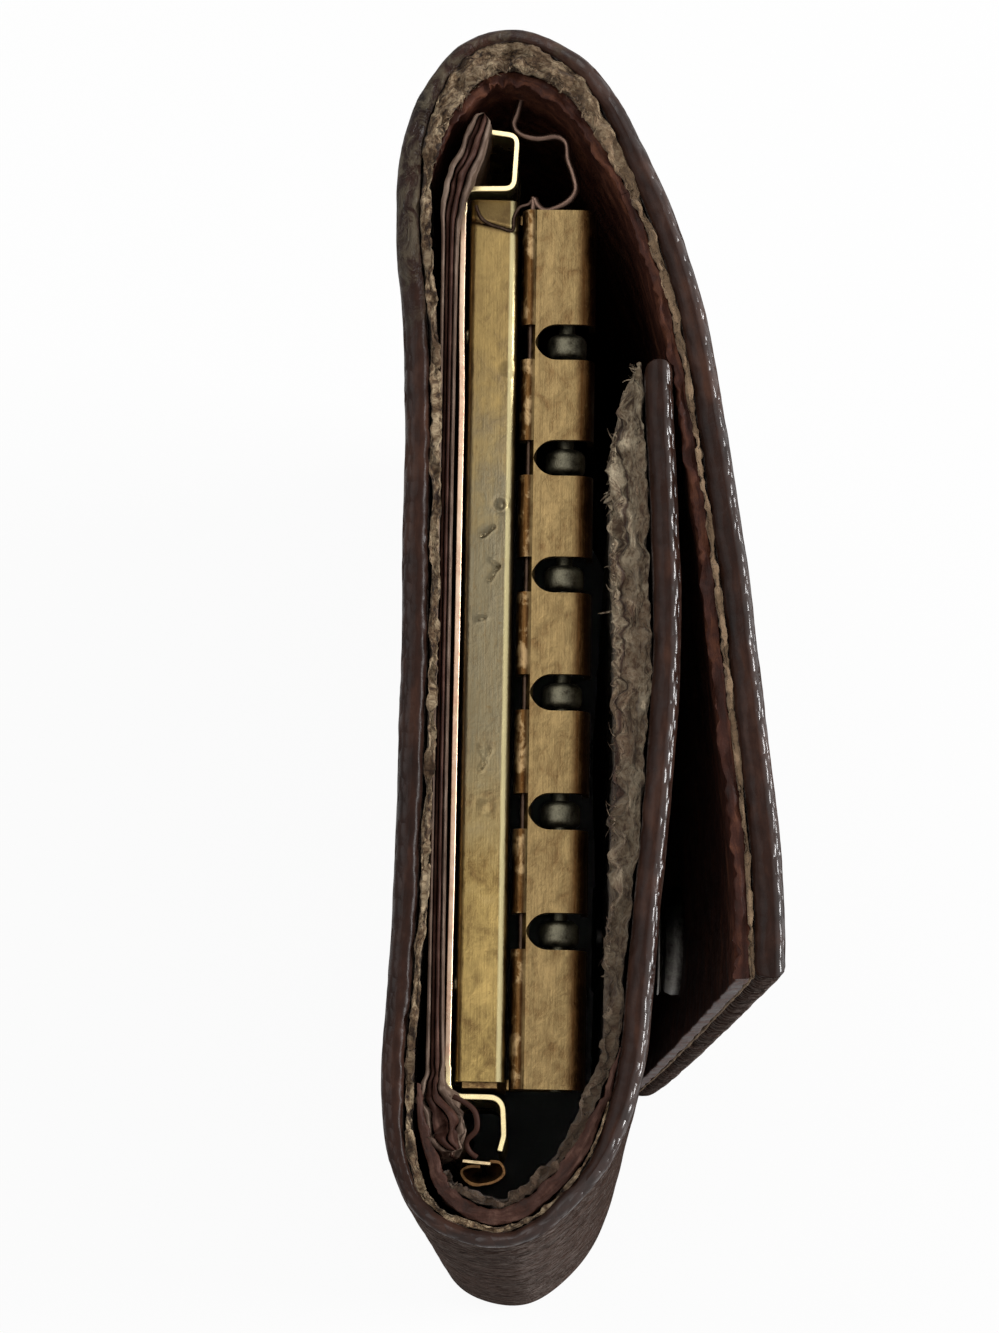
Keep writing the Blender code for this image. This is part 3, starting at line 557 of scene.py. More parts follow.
def cover_leather():
    """Dark brown finished leather: pebbled grain with creases; its burnished rims are smooth and glossy,
    with low beads that break up their shine."""
    look = Look("cover_leather")
    here = look.strip()
    along = look.axes(here)["X"]
    rim, edge = look.value("rim"), look.value("edge")
    grain = look.pebbles(here, 0.8 * MM)
    fine = look.noise(here, 0.35 * MM, 4.0, 0.6)
    wide = look.noise(here, 7 * MM, 4.0, 0.6, 0.4)
    streak = look.noise(look.strip((0.3, 1, 0.4)), 0.5 * MM)
    beads = look.pebbles(look.strip((0.7, 1, 1)), 0.6 * MM)
    crack = look.noise(look.strip((1, 1, 0.5)), 0.9 * MM, 4.0, 0.65, 1.2)
    crease = look.noise(look.strip((1, 1, 0.4)), 1.6 * MM, 4.0, 0.6, 0.8)
    scuff = look.noise(look.strip((0.6, 1, 1)), 0.9 * MM, 5.0, 0.7, 0.8)
    facing = look.add("ShaderNodeLayerWeight", {"Blend": 0.5}).outputs["Facing"]
    flat_on = look.spread(facing, 0.35, 0.82, 1.0, 0.0)
    bare = look.ramp(look.spread(along, station(1), station(3.2)), (0.2, 0.0), (0.45, 0.7), (0.8, 0.7),
                     (1.0, 0.0))
    glint_share = look.ramp(look.spread(along, station(0), station(7)), (0.26, 1.0), (0.34, 0.1), (0.68, 0.1),
                       (0.76, 1.0))

    face = look.ramp(wide, (0.25, (0.010, 0.005, 0.003)), (0.5, (0.024, 0.011, 0.007)),
                     (0.8, (0.045, 0.020, 0.013)))
    face = look.mix(look.spread(grain, 0.0, 0.45, 0.35, 0.0), face, (0.070, 0.034, 0.024))
    face = look.mix(look.spread(crack, 0.52, 0.64, 0.0, 0.6), face, (0.006, 0.003, 0.002))
    cut = look.ramp(look.mix(0.6, streak, wide), (0.3, (0.006, 0.003, 0.002)), (0.5, (0.024, 0.010, 0.0065)),
                    (0.70, (0.066, 0.029, 0.018)))
    cut = look.mix(look.times(bare, look.spread(scuff, 0.46, 0.6)), cut, (0.115, 0.092, 0.060))

    skin = look.bump(look.ramp(grain, (0.0, 1.0), (0.55, 0.25), (0.8, 0.0)),
                     look.spread(rim, 0.0, 1.0, 0.30 * MM, 0.03 * MM))
    skin = look.bump(fine, look.spread(rim, 0.0, 1.0, 0.03 * MM, 0.008 * MM), skin)
    skin = look.bump(crease, look.spread(rim, 0.0, 1.0, 0.7 * MM, 0.03 * MM), skin)
    skin = look.bump(scuff, look.times(bare, 0.5 * MM), skin)
    skin = look.bump(look.times(beads, beads), look.spread(edge, 0.0, 1.0, 0.0, -0.17 * MM), skin)

    gloss = look.sum(look.spread(rim, 0.0, 1.0, 0.40, 0.30), look.spread(fine, 0.3, 0.7, -0.06, 0.1))
    shine = look.times(look.spread(rim, 0.0, 1.0, 0.26, 0.09), flat_on)
    coat = look.times(look.times(look.spread(edge, 0.1, 0.7), glint_share), flat_on)
    dusty = look.times(look.spread(crack, 0.38, 0.64, 0.22, 0.06), look.spread(rim, 0.0, 1.0, 1.0, 0.1))
    return look.finish(Base_Color=look.mix(rim, face, cut), Roughness=gloss, Normal=skin,
                       Specular_IOR_Level=shine, Coat_Weight=coat, Coat_Roughness=0.24, Coat_IOR=1.42,
                       Coat_Normal=skin, Sheen_Weight=dusty, Sheen_Roughness=0.35,
                       Sheen_Tint=(1.0, 0.85, 0.77))


def suede(name, dark, tone, pale, patch, toned_stretch, split=None):
    """The leather's flesh side: short matted fibres, another tone over a stretch of the strip, and a dark
    split.
    """
    look = Look(name)
    here = look.strip((0.55, 1, 0.8))
    wool = look.noise(here, 0.22 * MM, 5.0, 0.7, 0.4)
    tuft = look.noise(here, 0.7 * MM, 3.0, 0.6, 0.5)
    wide = look.noise(look.strip(), 4 * MM)
    crack = look.noise(look.strip((0.22, 1, 0.3)), 0.34 * MM, 3.0, 0.6, 0.8)
    axes = look.axes(look.strip())
    colour = look.ramp(look.mix(0.4, wool, tuft), (0.40, dark), (0.475, tone), (0.59, pale))
    colour = look.mix(look.spread(wide, 0.47, 0.64, 0.0, 0.6), colour, patch)
    colour = look.mix(look.spread(crack, 0.56, 0.66, 0.0, 0.85), colour, dark)
    # Another tone up to the first station given, fading out by the second.
    stretch_share = look.spread(axes["X"], station(toned_stretch[0]), station(toned_stretch[1]), 0.9, 0.0)
    colour = look.mix(stretch_share, colour, toned_stretch[2])
    if split:
        wander = look.spread(wide, 0.3, 0.7, split - 0.25 * MM, split + 0.25 * MM)
        off = look.sum(look.sum(axes["Y"], wander, "SUBTRACT"), operation="ABSOLUTE")
        crack = look.sum(crack, look.spread(off, 0.03 * MM, 0.16 * MM, 0.5, 0.0))
        colour = look.mix(look.spread(off, 0.03 * MM, 0.12 * MM, 0.9, 0.0), colour, (0.035, 0.016, 0.010))
    skin = look.bump(tuft, 0.5 * MM)
    skin = look.bump(crack, -0.25 * MM, skin)
    skin = look.bump(wool, 0.16 * MM, skin)
    return look.finish(Base_Color=colour, Roughness=0.95, Normal=skin, Specular_IOR_Level=0.10,
                       Sheen_Weight=0.08, Sheen_Roughness=0.6)


def panel_leather(name, dark, tone, pale, cell):
    """Thin worn leather with long streaks that follow its edge."""
    look = Look(name)
    streak = look.noise(look.strip((0.10, 1, 0.3)), cell, 3.0, 0.6)
    spots = look.noise(look.strip(), 1.6 * MM, 4.0, 0.65)
    colour = look.ramp(look.mix(0.5, streak, spots), (0.32, dark), (0.5, tone), (0.68, pale))
    skin = look.bump(streak, 0.08 * MM, look.bump(spots, 0.18 * MM))
    return look.finish(Base_Color=colour, Roughness=look.spread(spots, 0.3, 0.7, 0.45, 0.7),
                       Normal=skin, Specular_IOR_Level=0.12)


CREASE_AT = 21.03 * MM
CREASE_SLOPE = -0.24
STAIN = (0.060, 0.028, 0.012)


def worn_brass(name, gold, brown, shade_and_tone_across, cell, grey=None):
    """Brass sheet: drawn lines along the bar, cloudy stains, and painted shade and light across the sheet
    (on the lid with the knuckle's copper tone). With grey it has a patina in its middle, a stained
    crease and a painted highlight along the front edge, and without it painted glints on the knuckle."""
    look = Look(name)
    lines = look.noise(look.place((0.05, 1, 1)), 0.09 * MM, 2.0)
    cloud = look.noise(look.place((0.8, 1, 1)), cell, 5.0, 0.62, 0.3)
    speck = look.noise(look.place(), 0.3 * MM, 3.0, 0.7)
    axes = look.axes(look.place())
    pale = tuple(min(1.0, part * 1.45) for part in gold)
    colour = look.ramp(cloud, (0.32, brown), (0.5, gold), (0.68, pale))
    if grey:
        along = look.sum(axes["X"], look.spread(cloud, 0.3, 0.7, -3 * MM, 3 * MM))
        share = look.ramp(look.spread(along, -20 * MM, 22 * MM), (0.14, 0.0), (0.34, 0.85), (0.60, 0.9),
                          (0.86, 0.15))
        colour = look.mix(share, colour, grey)
        colour = look.mix(look.spread(axes["X"], 8 * MM, 14 * MM, 0.0, 0.35), colour, brown)
        crease = look.sum(axes["X"], look.times(axes["Y"], CREASE_SLOPE))
        crease = look.spread(crease, CREASE_AT - 0.5 * MM, CREASE_AT + 0.2 * MM)
        share = look.ramp(crease, (0.2, 0.0), (0.55, 0.9), (0.8, 0.9), (1.0, 0.25))
        colour = look.mix(look.times(share, look.spread(cloud, 0.35, 0.6, 0.3, 1.0)), colour, STAIN)
    # Painted shade and light: the colour is multiplied by a ramp across the sheet that darkens its rounded
    # edges, its recesses and its side away from the light; on the lid the ramp also holds the knuckle's
    # copper tone.
    front, back = shade_and_tone_across[0][0], shade_and_tone_across[-1][0]
    tones = [(min(max((y - front) / (back - front), 0.0), 1.0), shade) for y, shade in shade_and_tone_across]
    tone = look.ramp(look.spread(axes["Y"], front * MM, back * MM), *tones)
    colour = look.mix(1.0, colour, tone, "MULTIPLY")
    colour = look.mix(look.spread(lines, 0.4, 0.7, 0.0, 0.3), colour, brown)
    colour = look.mix(look.spread(speck, 0.58, 0.74, 0.0, 0.55), colour, brown)
    if grey:
        # A painted highlight: a pale gold band along the channel's front edge.
        line = look.ramp(look.spread(axes["Y"], 3.9 * MM, 4.6 * MM), (0.1, 0.0), (0.28, 0.95), (0.48, 0.95),
                         (0.64, 0.0))
        colour = look.mix(line, colour, (0.60, 0.51, 0.27))
    else:
        # Painted glints: pale gold specks on the lid's knuckle.
        glint_share = look.times(look.spread(cloud, 0.50, 0.62, 0.0, 0.6),
                            look.spread(axes["Y"], 2.95 * MM, 3.1 * MM))
        colour = look.mix(glint_share, colour, (0.40, 0.28, 0.14))
    skin = look.bump(lines, 0.010 * MM)
    skin = look.bump(speck, 0.014 * MM, skin)
    skin = look.bump(cloud, 0.06 * MM, skin)
    return look.finish(Base_Color=colour, Metallic=1.0, Roughness=look.spread(cloud, 0.3, 0.7, 0.30, 0.48),
                       Normal=skin)


def plain_metal(name, colour, stain, low, high, cell, ends=None):
    """Metal with soft stains and small pits, and if asked for another tone beyond the bar's ends."""
    look = Look(name)
    cloud = look.noise(look.place(), cell, 4.0, 0.6, 0.3)
    fine = look.noise(look.place(), cell / 6, 3.0, 0.7)
    tone = look.ramp(look.mix(0.4, cloud, fine), (0.35, stain), (0.6, colour))
    if ends:
        x = look.sum(look.axes(look.place())["X"], operation="ABSOLUTE")
        tone = look.mix(look.spread(x, BAR_HALF - 1.5 * MM, BAR_HALF), tone, ends)
    return look.finish(Base_Color=tone, Metallic=1.0, Normal=look.bump(fine, 0.02 * MM),
                       Roughness=look.spread(cloud, 0.3, 0.7, low, high))


COVER = cover_leather()
FLESH = suede("tan_flesh_side", (0.018, 0.009, 0.006), (0.150, 0.093, 0.050), (0.46, 0.35, 0.22),
              (0.085, 0.048, 0.026), (0.9, 1.9, (0.25, 0.165, 0.098)))
GREY_SUEDE = suede("grey_suede", (0.060, 0.036, 0.022), (0.205, 0.152, 0.096), (0.36, 0.295, 0.20),
                   (0.110, 0.060, 0.033), (5.7, 6.75, (0.058, 0.034, 0.021)), 2.9 * MM)
LINING = panel_leather("red_brown_lining", (0.013, 0.0045, 0.003), (0.041, 0.0130, 0.008),
                       (0.130, 0.048, 0.025), 0.3 * MM)
PLY = panel_leather("pale_ply", (0.034, 0.020, 0.014), (0.125, 0.082, 0.060), (0.29, 0.215, 0.165), 0.2 * MM)
CORE = panel_leather("panel_core", (0.014, 0.006, 0.004), (0.046, 0.019, 0.013), (0.13, 0.068, 0.050),
                     0.25 * MM)
# The channel's row across is painted shade and light: darker at both rounded edges and towards the back.
CHANNEL = worn_brass("channel_brass", (0.28, 0.195, 0.070), (0.13, 0.080, 0.030),
                     ((3.8, 0.35), (4.0, 1.0), (5.5, 0.95), (6.2, 0.8), (6.45, 0.4)),
                     1.3 * MM, (0.150, 0.130, 0.085))
# Painted shade across the lid: dark on the skirt and round the front corner, in the step beside the knuckle
# and on the knuckle's back; the band at 3.2 mm is the knuckle's own copper tone.
LID = worn_brass("lid_brass", (0.215, 0.148, 0.064), (0.130, 0.078, 0.032),
                 ((-0.4, (0.12, 0.06, 0.04)), (0.35, (0.3, 0.2, 0.15)), (0.75, 0.85), (2.2, 1.0), (2.9, 0.8),
                  (3.05, (0.2, 0.13, 0.10)), (3.2, (0.38, 0.26, 0.175)), (3.6, (0.12, 0.08, 0.06))), 0.9 * MM)
GOLD = plain_metal("bright_gold_brass", (0.74, 0.60, 0.36), (0.50, 0.33, 0.17), 0.16, 0.30, 3.0 * MM)
PLATE = plain_metal("pink_gold_plate", (0.62, 0.46, 0.33), (0.40, 0.23, 0.15), 0.22, 0.36, 5.0 * MM,
                    ends=(0.80, 0.66, 0.36))
STEEL = plain_metal("dark_steel", (0.155, 0.143, 0.100), (0.042, 0.037, 0.025), 0.38, 0.58, 0.55 * MM)
# Painted shade: the wire is dark along the bar, where it shows in the knuckle's gaps, and a lighter brown
# beyond the bar's ends.
WIRE = plain_metal("wire_with_painted_shade", (0.060, 0.038, 0.026), (0.022, 0.014, 0.010), 0.28, 0.45, 0.7 * MM,
                   ends=(0.13, 0.082, 0.062))
WIRE_BRASS = plain_metal("browned_brass", (0.34, 0.22, 0.09), (0.085, 0.045, 0.02), 0.28, 0.45, 0.9 * MM)
ROLL = plain_metal("browned_curl", (0.19, 0.100, 0.040), (0.035, 0.018, 0.008), 0.3, 0.5, 0.5 * MM)
# The nickel's tone is darkened well below bright nickel as painted shade for the snap deep in the gap.
NICKEL = plain_metal("dull_nickel", (0.20, 0.19, 0.17), (0.07, 0.062, 0.055), 0.35, 0.5, 1.0 * MM)


# The layers of the strip, from the outside in. Places are stations, widths and gaps are in mm.

FLESH_END = 5.9
PLY_END = 6.05

cover_depth = table_of(
    (0, 1.62), (0.6, 1.55), (1, 1.32), (1.5, 0.95), (2, 0.64), (2.5, 0.85), (3, 1.25), (3.5, 1.38),
    (4, 1.2), (4.5, 0.8), (5, 0.75), (5.5, 0.95), (6, 1.4), (6.3, 1.38), (6.6, 1.45), (7, 1.5))
flesh_gap = table_of((0, 0.02), (2.6, 0.02), (3, 0.1), (3.5, 0.16), (4, 0.1), (4.4, 0.03), (6, 0.02))
flesh_width = table_of(
    (0, 0.22), (0.75, 0.27), (1, 0.45), (1.5, 0.95), (2, 1.45), (2.45, 1.25), (3, 0.42), (3.5, 0.38),
    (4, 0.32), (4.4, 0.42), (5, 0.25), (5.5, 0.16), (FLESH_END, 0.06))
red_width = table_of((0, 0.75), (0.7, 0.6), (1, 0.5), (1.6, 0.75), (2, 0.8), (2.6, 0.4), (3, 0.1))
red_drop = table_of((0, 0.25), (1, 0.3), (1.7, 0.7), (2.3, 0.9), (3, 0.5))
ply_gap = table_of((4, 0.2), (4.4, 0.6), (4.8, 0.35), (5, 0.1), (FLESH_END, 0.04))
ply_width = table_of((4, 0.2), (4.4, 0.6), (5, 0.8), (5.6, 0.8), (FLESH_END, 0.5), (PLY_END, 0.06))
suede_width = table_of((4.5, 0.25), (5, 0.55), (5.7, 0.6), (6, 0.7), (6.25, 1.1), (6.5, 1.7), (6.65, 1.95),
                       (6.82, 1.95), (6.9, 1.55), (6.96, 0.95), (7, 0.12))


def outside(s):
    """The cover's outer face, at no depth."""
    return 0.0 * s


def flesh_begin(s):
    """Behind the cover, after a gap."""
    return cover_depth(s) + flesh_gap(s)


def flesh_finish(s):
    """The flesh side's inner face."""
    return flesh_begin(s) + flesh_width(s)


def red_begin(s):
    """Behind the flesh side."""
    return flesh_finish(s) + 0.01 * MM


def red_finish(s):
    """The red lining's inner face."""
    return red_begin(s) + red_width(s)


def ply_begin(s):
    """Behind the flesh side and a gap, and past the flesh side's end behind the cover."""
    past_flesh = flesh_gap(s) + flesh_width(s) + ply_gap(s)
    return cover_depth(s) + np.where(s < station(FLESH_END), past_flesh, 0.03 * MM)


def ply_finish(s):
    """The ply's inner face."""
    return ply_begin(s) + ply_width(s)


def suede_begin(s):
    """Behind the ply, and past the ply's end behind the cover."""
    return np.where(s < station(PLY_END), ply_finish(s) + 0.02 * MM, cover_depth(s) + 0.16 * MM)


def suede_finish(s):
    """The suede's inner face."""
    return suede_begin(s) + suede_width(s)


strip_layer("cover_leather", COVER, 0, 7, outside, cover_depth,
            ("cover_outer_flap", "cover_outer_fold", "cover_back", "cover_inner_fold", "cover_inner_flap"),
            corner=COVER_CORNER, ragged=(0.07 * MM, 0.9 * MM), seed=11, columns=11)
strip_layer("flesh_side", FLESH, 0, FLESH_END, flesh_begin, flesh_finish,
            ("lining_outer_flap", "lining_outer_fold", "lining_back", "lining_inner_fold"),
            step=0.2 * MM, corner=0.15 * MM, lump=(0.11 * MM, 1.2 * MM), ragged=(0.3 * MM, 0.7 * MM), seed=31,
            drop=0.05 * MM, torn=0.22 * MM, columns=11)
strip_layer("red_lining", LINING, 0, 3, red_begin, red_finish,
            step=0.25 * MM, corner=0.1 * MM, lump=(0.1 * MM, 1.8 * MM), ragged=(0.2 * MM, 0.7 * MM), seed=51,
            drop=red_drop, torn=0.15 * MM, columns=5)
strip_layer("inner_ply", CORE, 4, PLY_END, ply_begin, ply_finish,
            step=0.2 * MM, corner=0.2 * MM, lump=(0.1 * MM, 1.6 * MM), ragged=(0.15 * MM, 0.8 * MM), seed=81,
            drop=0.25 * MM, torn=0.12 * MM)
strip_layer("inner_suede", GREY_SUEDE, 4.5, 7, suede_begin, suede_finish,
            ("lining_inner_flap",), step=0.16 * MM, corner=0.3 * MM, lump=(0.14 * MM, 1.3 * MM),
            ragged=(0.42 * MM, 0.9 * MM), seed=91,
            drop=0.3 * MM, torn=0.3 * MM, columns=13)
fibres("torn_suede", GREY_SUEDE, 6.15, 6.99, suede_finish, 0.5 * MM, 150, 5, 0.35 * MM)
fibres("suede_scraps", GREY_SUEDE, 6.2, 6.97, suede_finish, 0.8 * MM, 18, 9, 0.3 * MM, -2.1)
fibres("torn_flesh", FLESH, 1.3, 2.9, flesh_finish, 0.35 * MM, 260, 7, 0.1 * MM)


# The key panel: several plies pressed together, crumpled at its lower tip. Knots are (x, y, half width).

PANEL_MM = ((-27.8, 6.6, 0.5), (-27.2, 6.8, 0.8), (-26.4, 7.0, 0.95), (-25.1, 7.2, 0.95), (-22.6, 7.45, 0.5),
            (-12.0, 7.5, 0.42), (0.0, 7.5, 0.42), (12.0, 7.5, 0.42), (20.5, 7.5, 0.46), (22.5, 7.45, 0.6),
            (24.2, 7.1, 0.74), (26.0, 6.45, 0.66), (27.9, 5.75, 0.42))
PANEL_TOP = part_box("key_panel")[1].z + 1.2 * MM
PANEL_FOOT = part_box("key_panel")[0].z
PLY_LOOKS = (PLY, CORE, CORE, PLY)
PLY_DROPS_MM = (0.05, 0.3, 0.12, 0.42)
PLY_GAP_SHARE = 0.06


def panel_pieces():
    """Each ply is a box-like grid along the panel's line, at its own depth; noise crumples the tips."""
    line = evenly(spline(np.array(PANEL_MM) * MM, 12), 0.18 * MM)
    side = -leftward(unit(np.gradient(line[:, :2], axis=0)))
    length = distances(line[:, :2])
    from_end = np.minimum(length, length[-1] - length)
    half = line[:, 2] - quarter(from_end, 0.45 * MM) * 0.9
    crumple = (np.clip((-22.5 * MM - line[:, 0]) / (2.5 * MM), 0, 1)
               + 0.35 * np.clip((line[:, 0] - 22 * MM) / (2 * MM), 0, 1))[:, None, None]
    z = heights(PANEL_TOP, PANEL_FOOT, 1.5 * MM)
    rim = np.clip(1 - (z[-1] - z) / (1.5 * MM), 0, 1)
    edges = np.linspace(-1, 1, len(PLY_LOOKS) + 1)
    for number, (low, high) in enumerate(zip(edges, edges[1:])):
        u = np.linspace(low + PLY_GAP_SHARE, high - PLY_GAP_SHARE, 5)
        shade_and_tone_across = half[:, None] * u
        flat = line[:, None, :2] + side[:, None] * shade_and_tone_across[..., None]
        points = np.stack(np.broadcast_arrays(flat[:, :, None, 0], flat[:, :, None, 1], z), -1)
        spots = np.stack(np.broadcast_arrays(length[:, None, None], shade_and_tone_across[:, :, None], z), -1)
        for axis, seed in ((0, 41), (1, 42)):
            points[..., axis] += crumple * MM * (0.42 * smooth_noise(points, 1.3 * MM, seed)
                                                 + 0.26 * smooth_noise(points, 0.5 * MM, seed + 2))
        dome = 1 - np.linspace(-1, 1, len(u))[None, :, None] ** 2
        points[..., 2] += rim * MM * ((0.05 + 0.55 * crumple) * smooth_noise(spots, 0.7 * MM, 50 + number)
                                      + 0.12 * dome - PLY_DROPS_MM[number])
        item = slab(f"key_panel_ply_{number + 1}", points, PLY_LOOKS[number], {"strip_place": spots}, 60.0)
        fit(item, "back", "panel_leather", *(["key_panel"] if number == 0 else []))


panel_pieces()


# Sheet metal of the bar

def soft_edges(item, width):
    """A narrow bevel on every sharp edge."""
    bevel = item.modifiers.new("soft_edges", "BEVEL")
    bevel.width = width
    bevel.segments = 2
    bevel.limit_method = "ANGLE"
    bevel.angle_limit = math.radians(50)


def bent_sheet(name, line, width, thickness, look, as_points, shape=None):
    """A bent sheet: an open line in a plane, thickened to both sides and carried along the third axis.
    line has columns (a, b); width gives the places along the third axis; as_points maps them to space."""
    side = leftward(unit(np.gradient(line, axis=0))) * thickness / 2
    faces = [as_points((line + sign * side)[None], width[:, None]) for sign in (1, -1)]
    if shape:
        faces = [shape(face) for face in faces]
    item = sheet_piece(name, *faces, np.ones((len(width) - 1, len(line) - 1), bool), look)
    soft_edges(item, 0.04 * MM)
    return item


def fillet(points, radius, steps=8):
    """An open line with each inner corner replaced by a bend of the given radius."""
    points = np.asarray(points, float)
    result = [points[:1]]
    for before, corner, after in zip(points, points[1:], points[2:]):
        into, out = unit(corner - before), unit(after - corner)
        turn = math.acos(np.clip(into @ out, -1, 1))
        reach = min(radius * math.tan(turn / 2), 0.49 * np.linalg.norm(corner - before),
                    0.49 * np.linalg.norm(after - corner))
        t = np.linspace(0, 1, steps + 1)[:, None]
        start, end = corner - into * reach, corner + out * reach
        result.append((1 - t) ** 2 * start + 2 * t * (1 - t) * corner + t ** 2 * end)
    return np.concatenate([*result, points[-1:]])


def upright(line, z):
    """Plan line (x, y) carried up along Z."""
    line, z = np.broadcast_arrays(line, z[..., None])
    return np.concatenate([line, z[..., :1]], -1)


def lengthwise(line, x):
    """Section line (y, z) carried along X."""
    line, x = np.broadcast_arrays(line, x[..., None])
    return np.concatenate([x[..., :1], line], -1)


# The base plate's line from its lower clip to its upper one, its tab and the curl at its lower end

CLIPS_MM = ((-27.4, 4.05), (-26.6, 3.85), (-24.6, 3.95), (-24.6, 6.8),
            (24.3, 6.8), (24.35, 4.15), (27.3, 4.0), (27.5, 5.5))
TAB_MM = ((-27.92, 6.0), (-28.0, 5.2), (-28.05, 4.5))
ROLL_MM = ((-27.95, 4.5), (-28.05, 3.95), (-28.5, 3.85), (-28.95, 4.3), (-29.15, 5.1), (-28.9, 5.75),
           (-28.45, 6.0), (-28.2, 5.6), (-28.2, 5.0))
ROLL_MIDDLE = np.array((-28.5, 4.95)) * MM
LOWER_BEND, UPPER_BEND = 0.8 * MM, 0.55 * MM
PLATE_STEP = 0.12 * MM
PLATE_RIM = np.array([0.7, 0.45, 0.25, 0.1, 0.0]) * MM


def base_plate():
    """A bent sheet along the clips' line, wavy between them, and the tab and the crumpled curl."""
    low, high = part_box("base_plate")
    corners = np.array(CLIPS_MM) * MM
    line = np.concatenate([fillet(corners[:5], LOWER_BEND)[:-1], fillet(corners[3:], UPPER_BEND)[1:]])
    z = np.concatenate([np.linspace(low.z, high.z - 1 * MM, 20), high.z - PLATE_RIM])

    def wave(grid):
        """Low noise along the sheet between the clips."""
        between = np.abs(grid[..., 0]) < 23 * MM
        grid[..., 1] += np.where(between, 0.05 * MM * smooth_noise(grid * (1, 0, 0), 6 * MM, 3), 0)
        return grid

    def crush(grid):
        """The curl narrows downwards to a crumpled funnel."""
        grid = grid + 0.16 * MM * np.stack([smooth_noise(grid, 0.8 * MM, seed) for seed in (21, 22, 23)], -1)
        share = np.clip((high.z - 0.5 * MM - grid[..., 2:]) / (2.0 * MM), 0, 0.8)
        grid[..., :2] += share * (ROLL_MIDDLE - grid[..., :2])
        return grid

    plate = bent_sheet("base_plate_brass", evenly(line, PLATE_STEP), z, 0.3 * MM, PLATE, upright, wave)
    roll = evenly(spline(np.array(ROLL_MM) * MM, 8), PLATE_STEP)
    curl = bent_sheet("base_plate_roll", roll, np.linspace(low.z, high.z - 0.4 * MM, 60), 0.16 * MM, ROLL,
                      upright, crush)
    tab = evenly(np.array(TAB_MM) * MM, PLATE_STEP)
    tab = bent_sheet("base_plate_tab", tab, z - 0.1 * MM, 0.2 * MM, GOLD, upright)
    fit(plate, "back", "bar_brass", "base_plate")
    fit(curl, "back", "bar_brass")
    fit(tab, "back", "bar_brass")


base_plate()


# The channel: its marks are in mm, pits as (x, y, depth, size), scratches as (x, y, x, y, depth)

LID_FROM = -LID_HALF - 1.1 * MM
LID_TO = LID_HALF + 0.15 * MM
CHANNEL_BACK = 6.47 * MM
CHANNEL_FRONT = 3.86 * MM
CHANNEL_FOOT = 92.5 * MM
CHANNEL_BEND = 0.28 * MM
BAR_SHEET = 0.35 * MM
LUG_R = 0.8 * MM
CHEEK_INSET = 0.4 * MM
PITS = ((6.9, 4.55, 0.16, 0.22), (14.3, 4.3, 0.07, 0.3), (-9.3, 5.2, 0.05, 0.25))
SCRATCHES = ((5.7, 4.9, 5.2, 5.5, 0.09), (3.6, 4.6, 2.8, 5.1, 0.07), (3.9, 5.1, 3.5, 4.6, 0.05),
             (0.8, 5.2, 0.6, 5.8, 0.06), (-6.3, 4.9, -7.4, 5.4, 0.06), (-6.2, 5.5, -7.0, 5.1, 0.05))


def dents(grid):
    """Sinks a few marks into the strip: round pits with a raised lip, short scratches, and the crushed
    corner, a slope with a groove where it starts."""
    grid = grid.copy()
    x, y, z = grid[..., 0] / MM, grid[..., 1] / MM, grid[..., 2] / MM
    facing = np.clip((z - 96.3) / 0.4, 0, 1)
    down = 0.0
    for px, py, depth, size in PITS:
        far = np.hypot(x - px, y - py)
        lip = np.exp(-((far - 1.7 * size) / (0.5 * size)) ** 2)
        down = down + depth * np.exp(-(far / size) ** 2) - 0.35 * depth * lip
    for ax, ay, bx, by, depth in SCRATCHES:
        run, rise = bx - ax, by - ay
        t = np.clip(((x - ax) * run + (y - ay) * rise) / (run ** 2 + rise ** 2), 0, 1)
        far = np.hypot(x - ax - t * run, y - ay - t * rise) + 0.07 * smooth_noise(grid, 0.4 * MM, 29)
        down = down + 1.7 * depth * np.exp(-(far / 0.075) ** 2)
    crease = x - (22.45 - 0.45 * (5.9 - y) / 1.9)
    down = down + 0.30 * np.clip(crease, 0, None) + 0.16 * np.exp(-(crease / 0.12) ** 2)
    grid[..., 2] -= down * facing * MM
    return grid


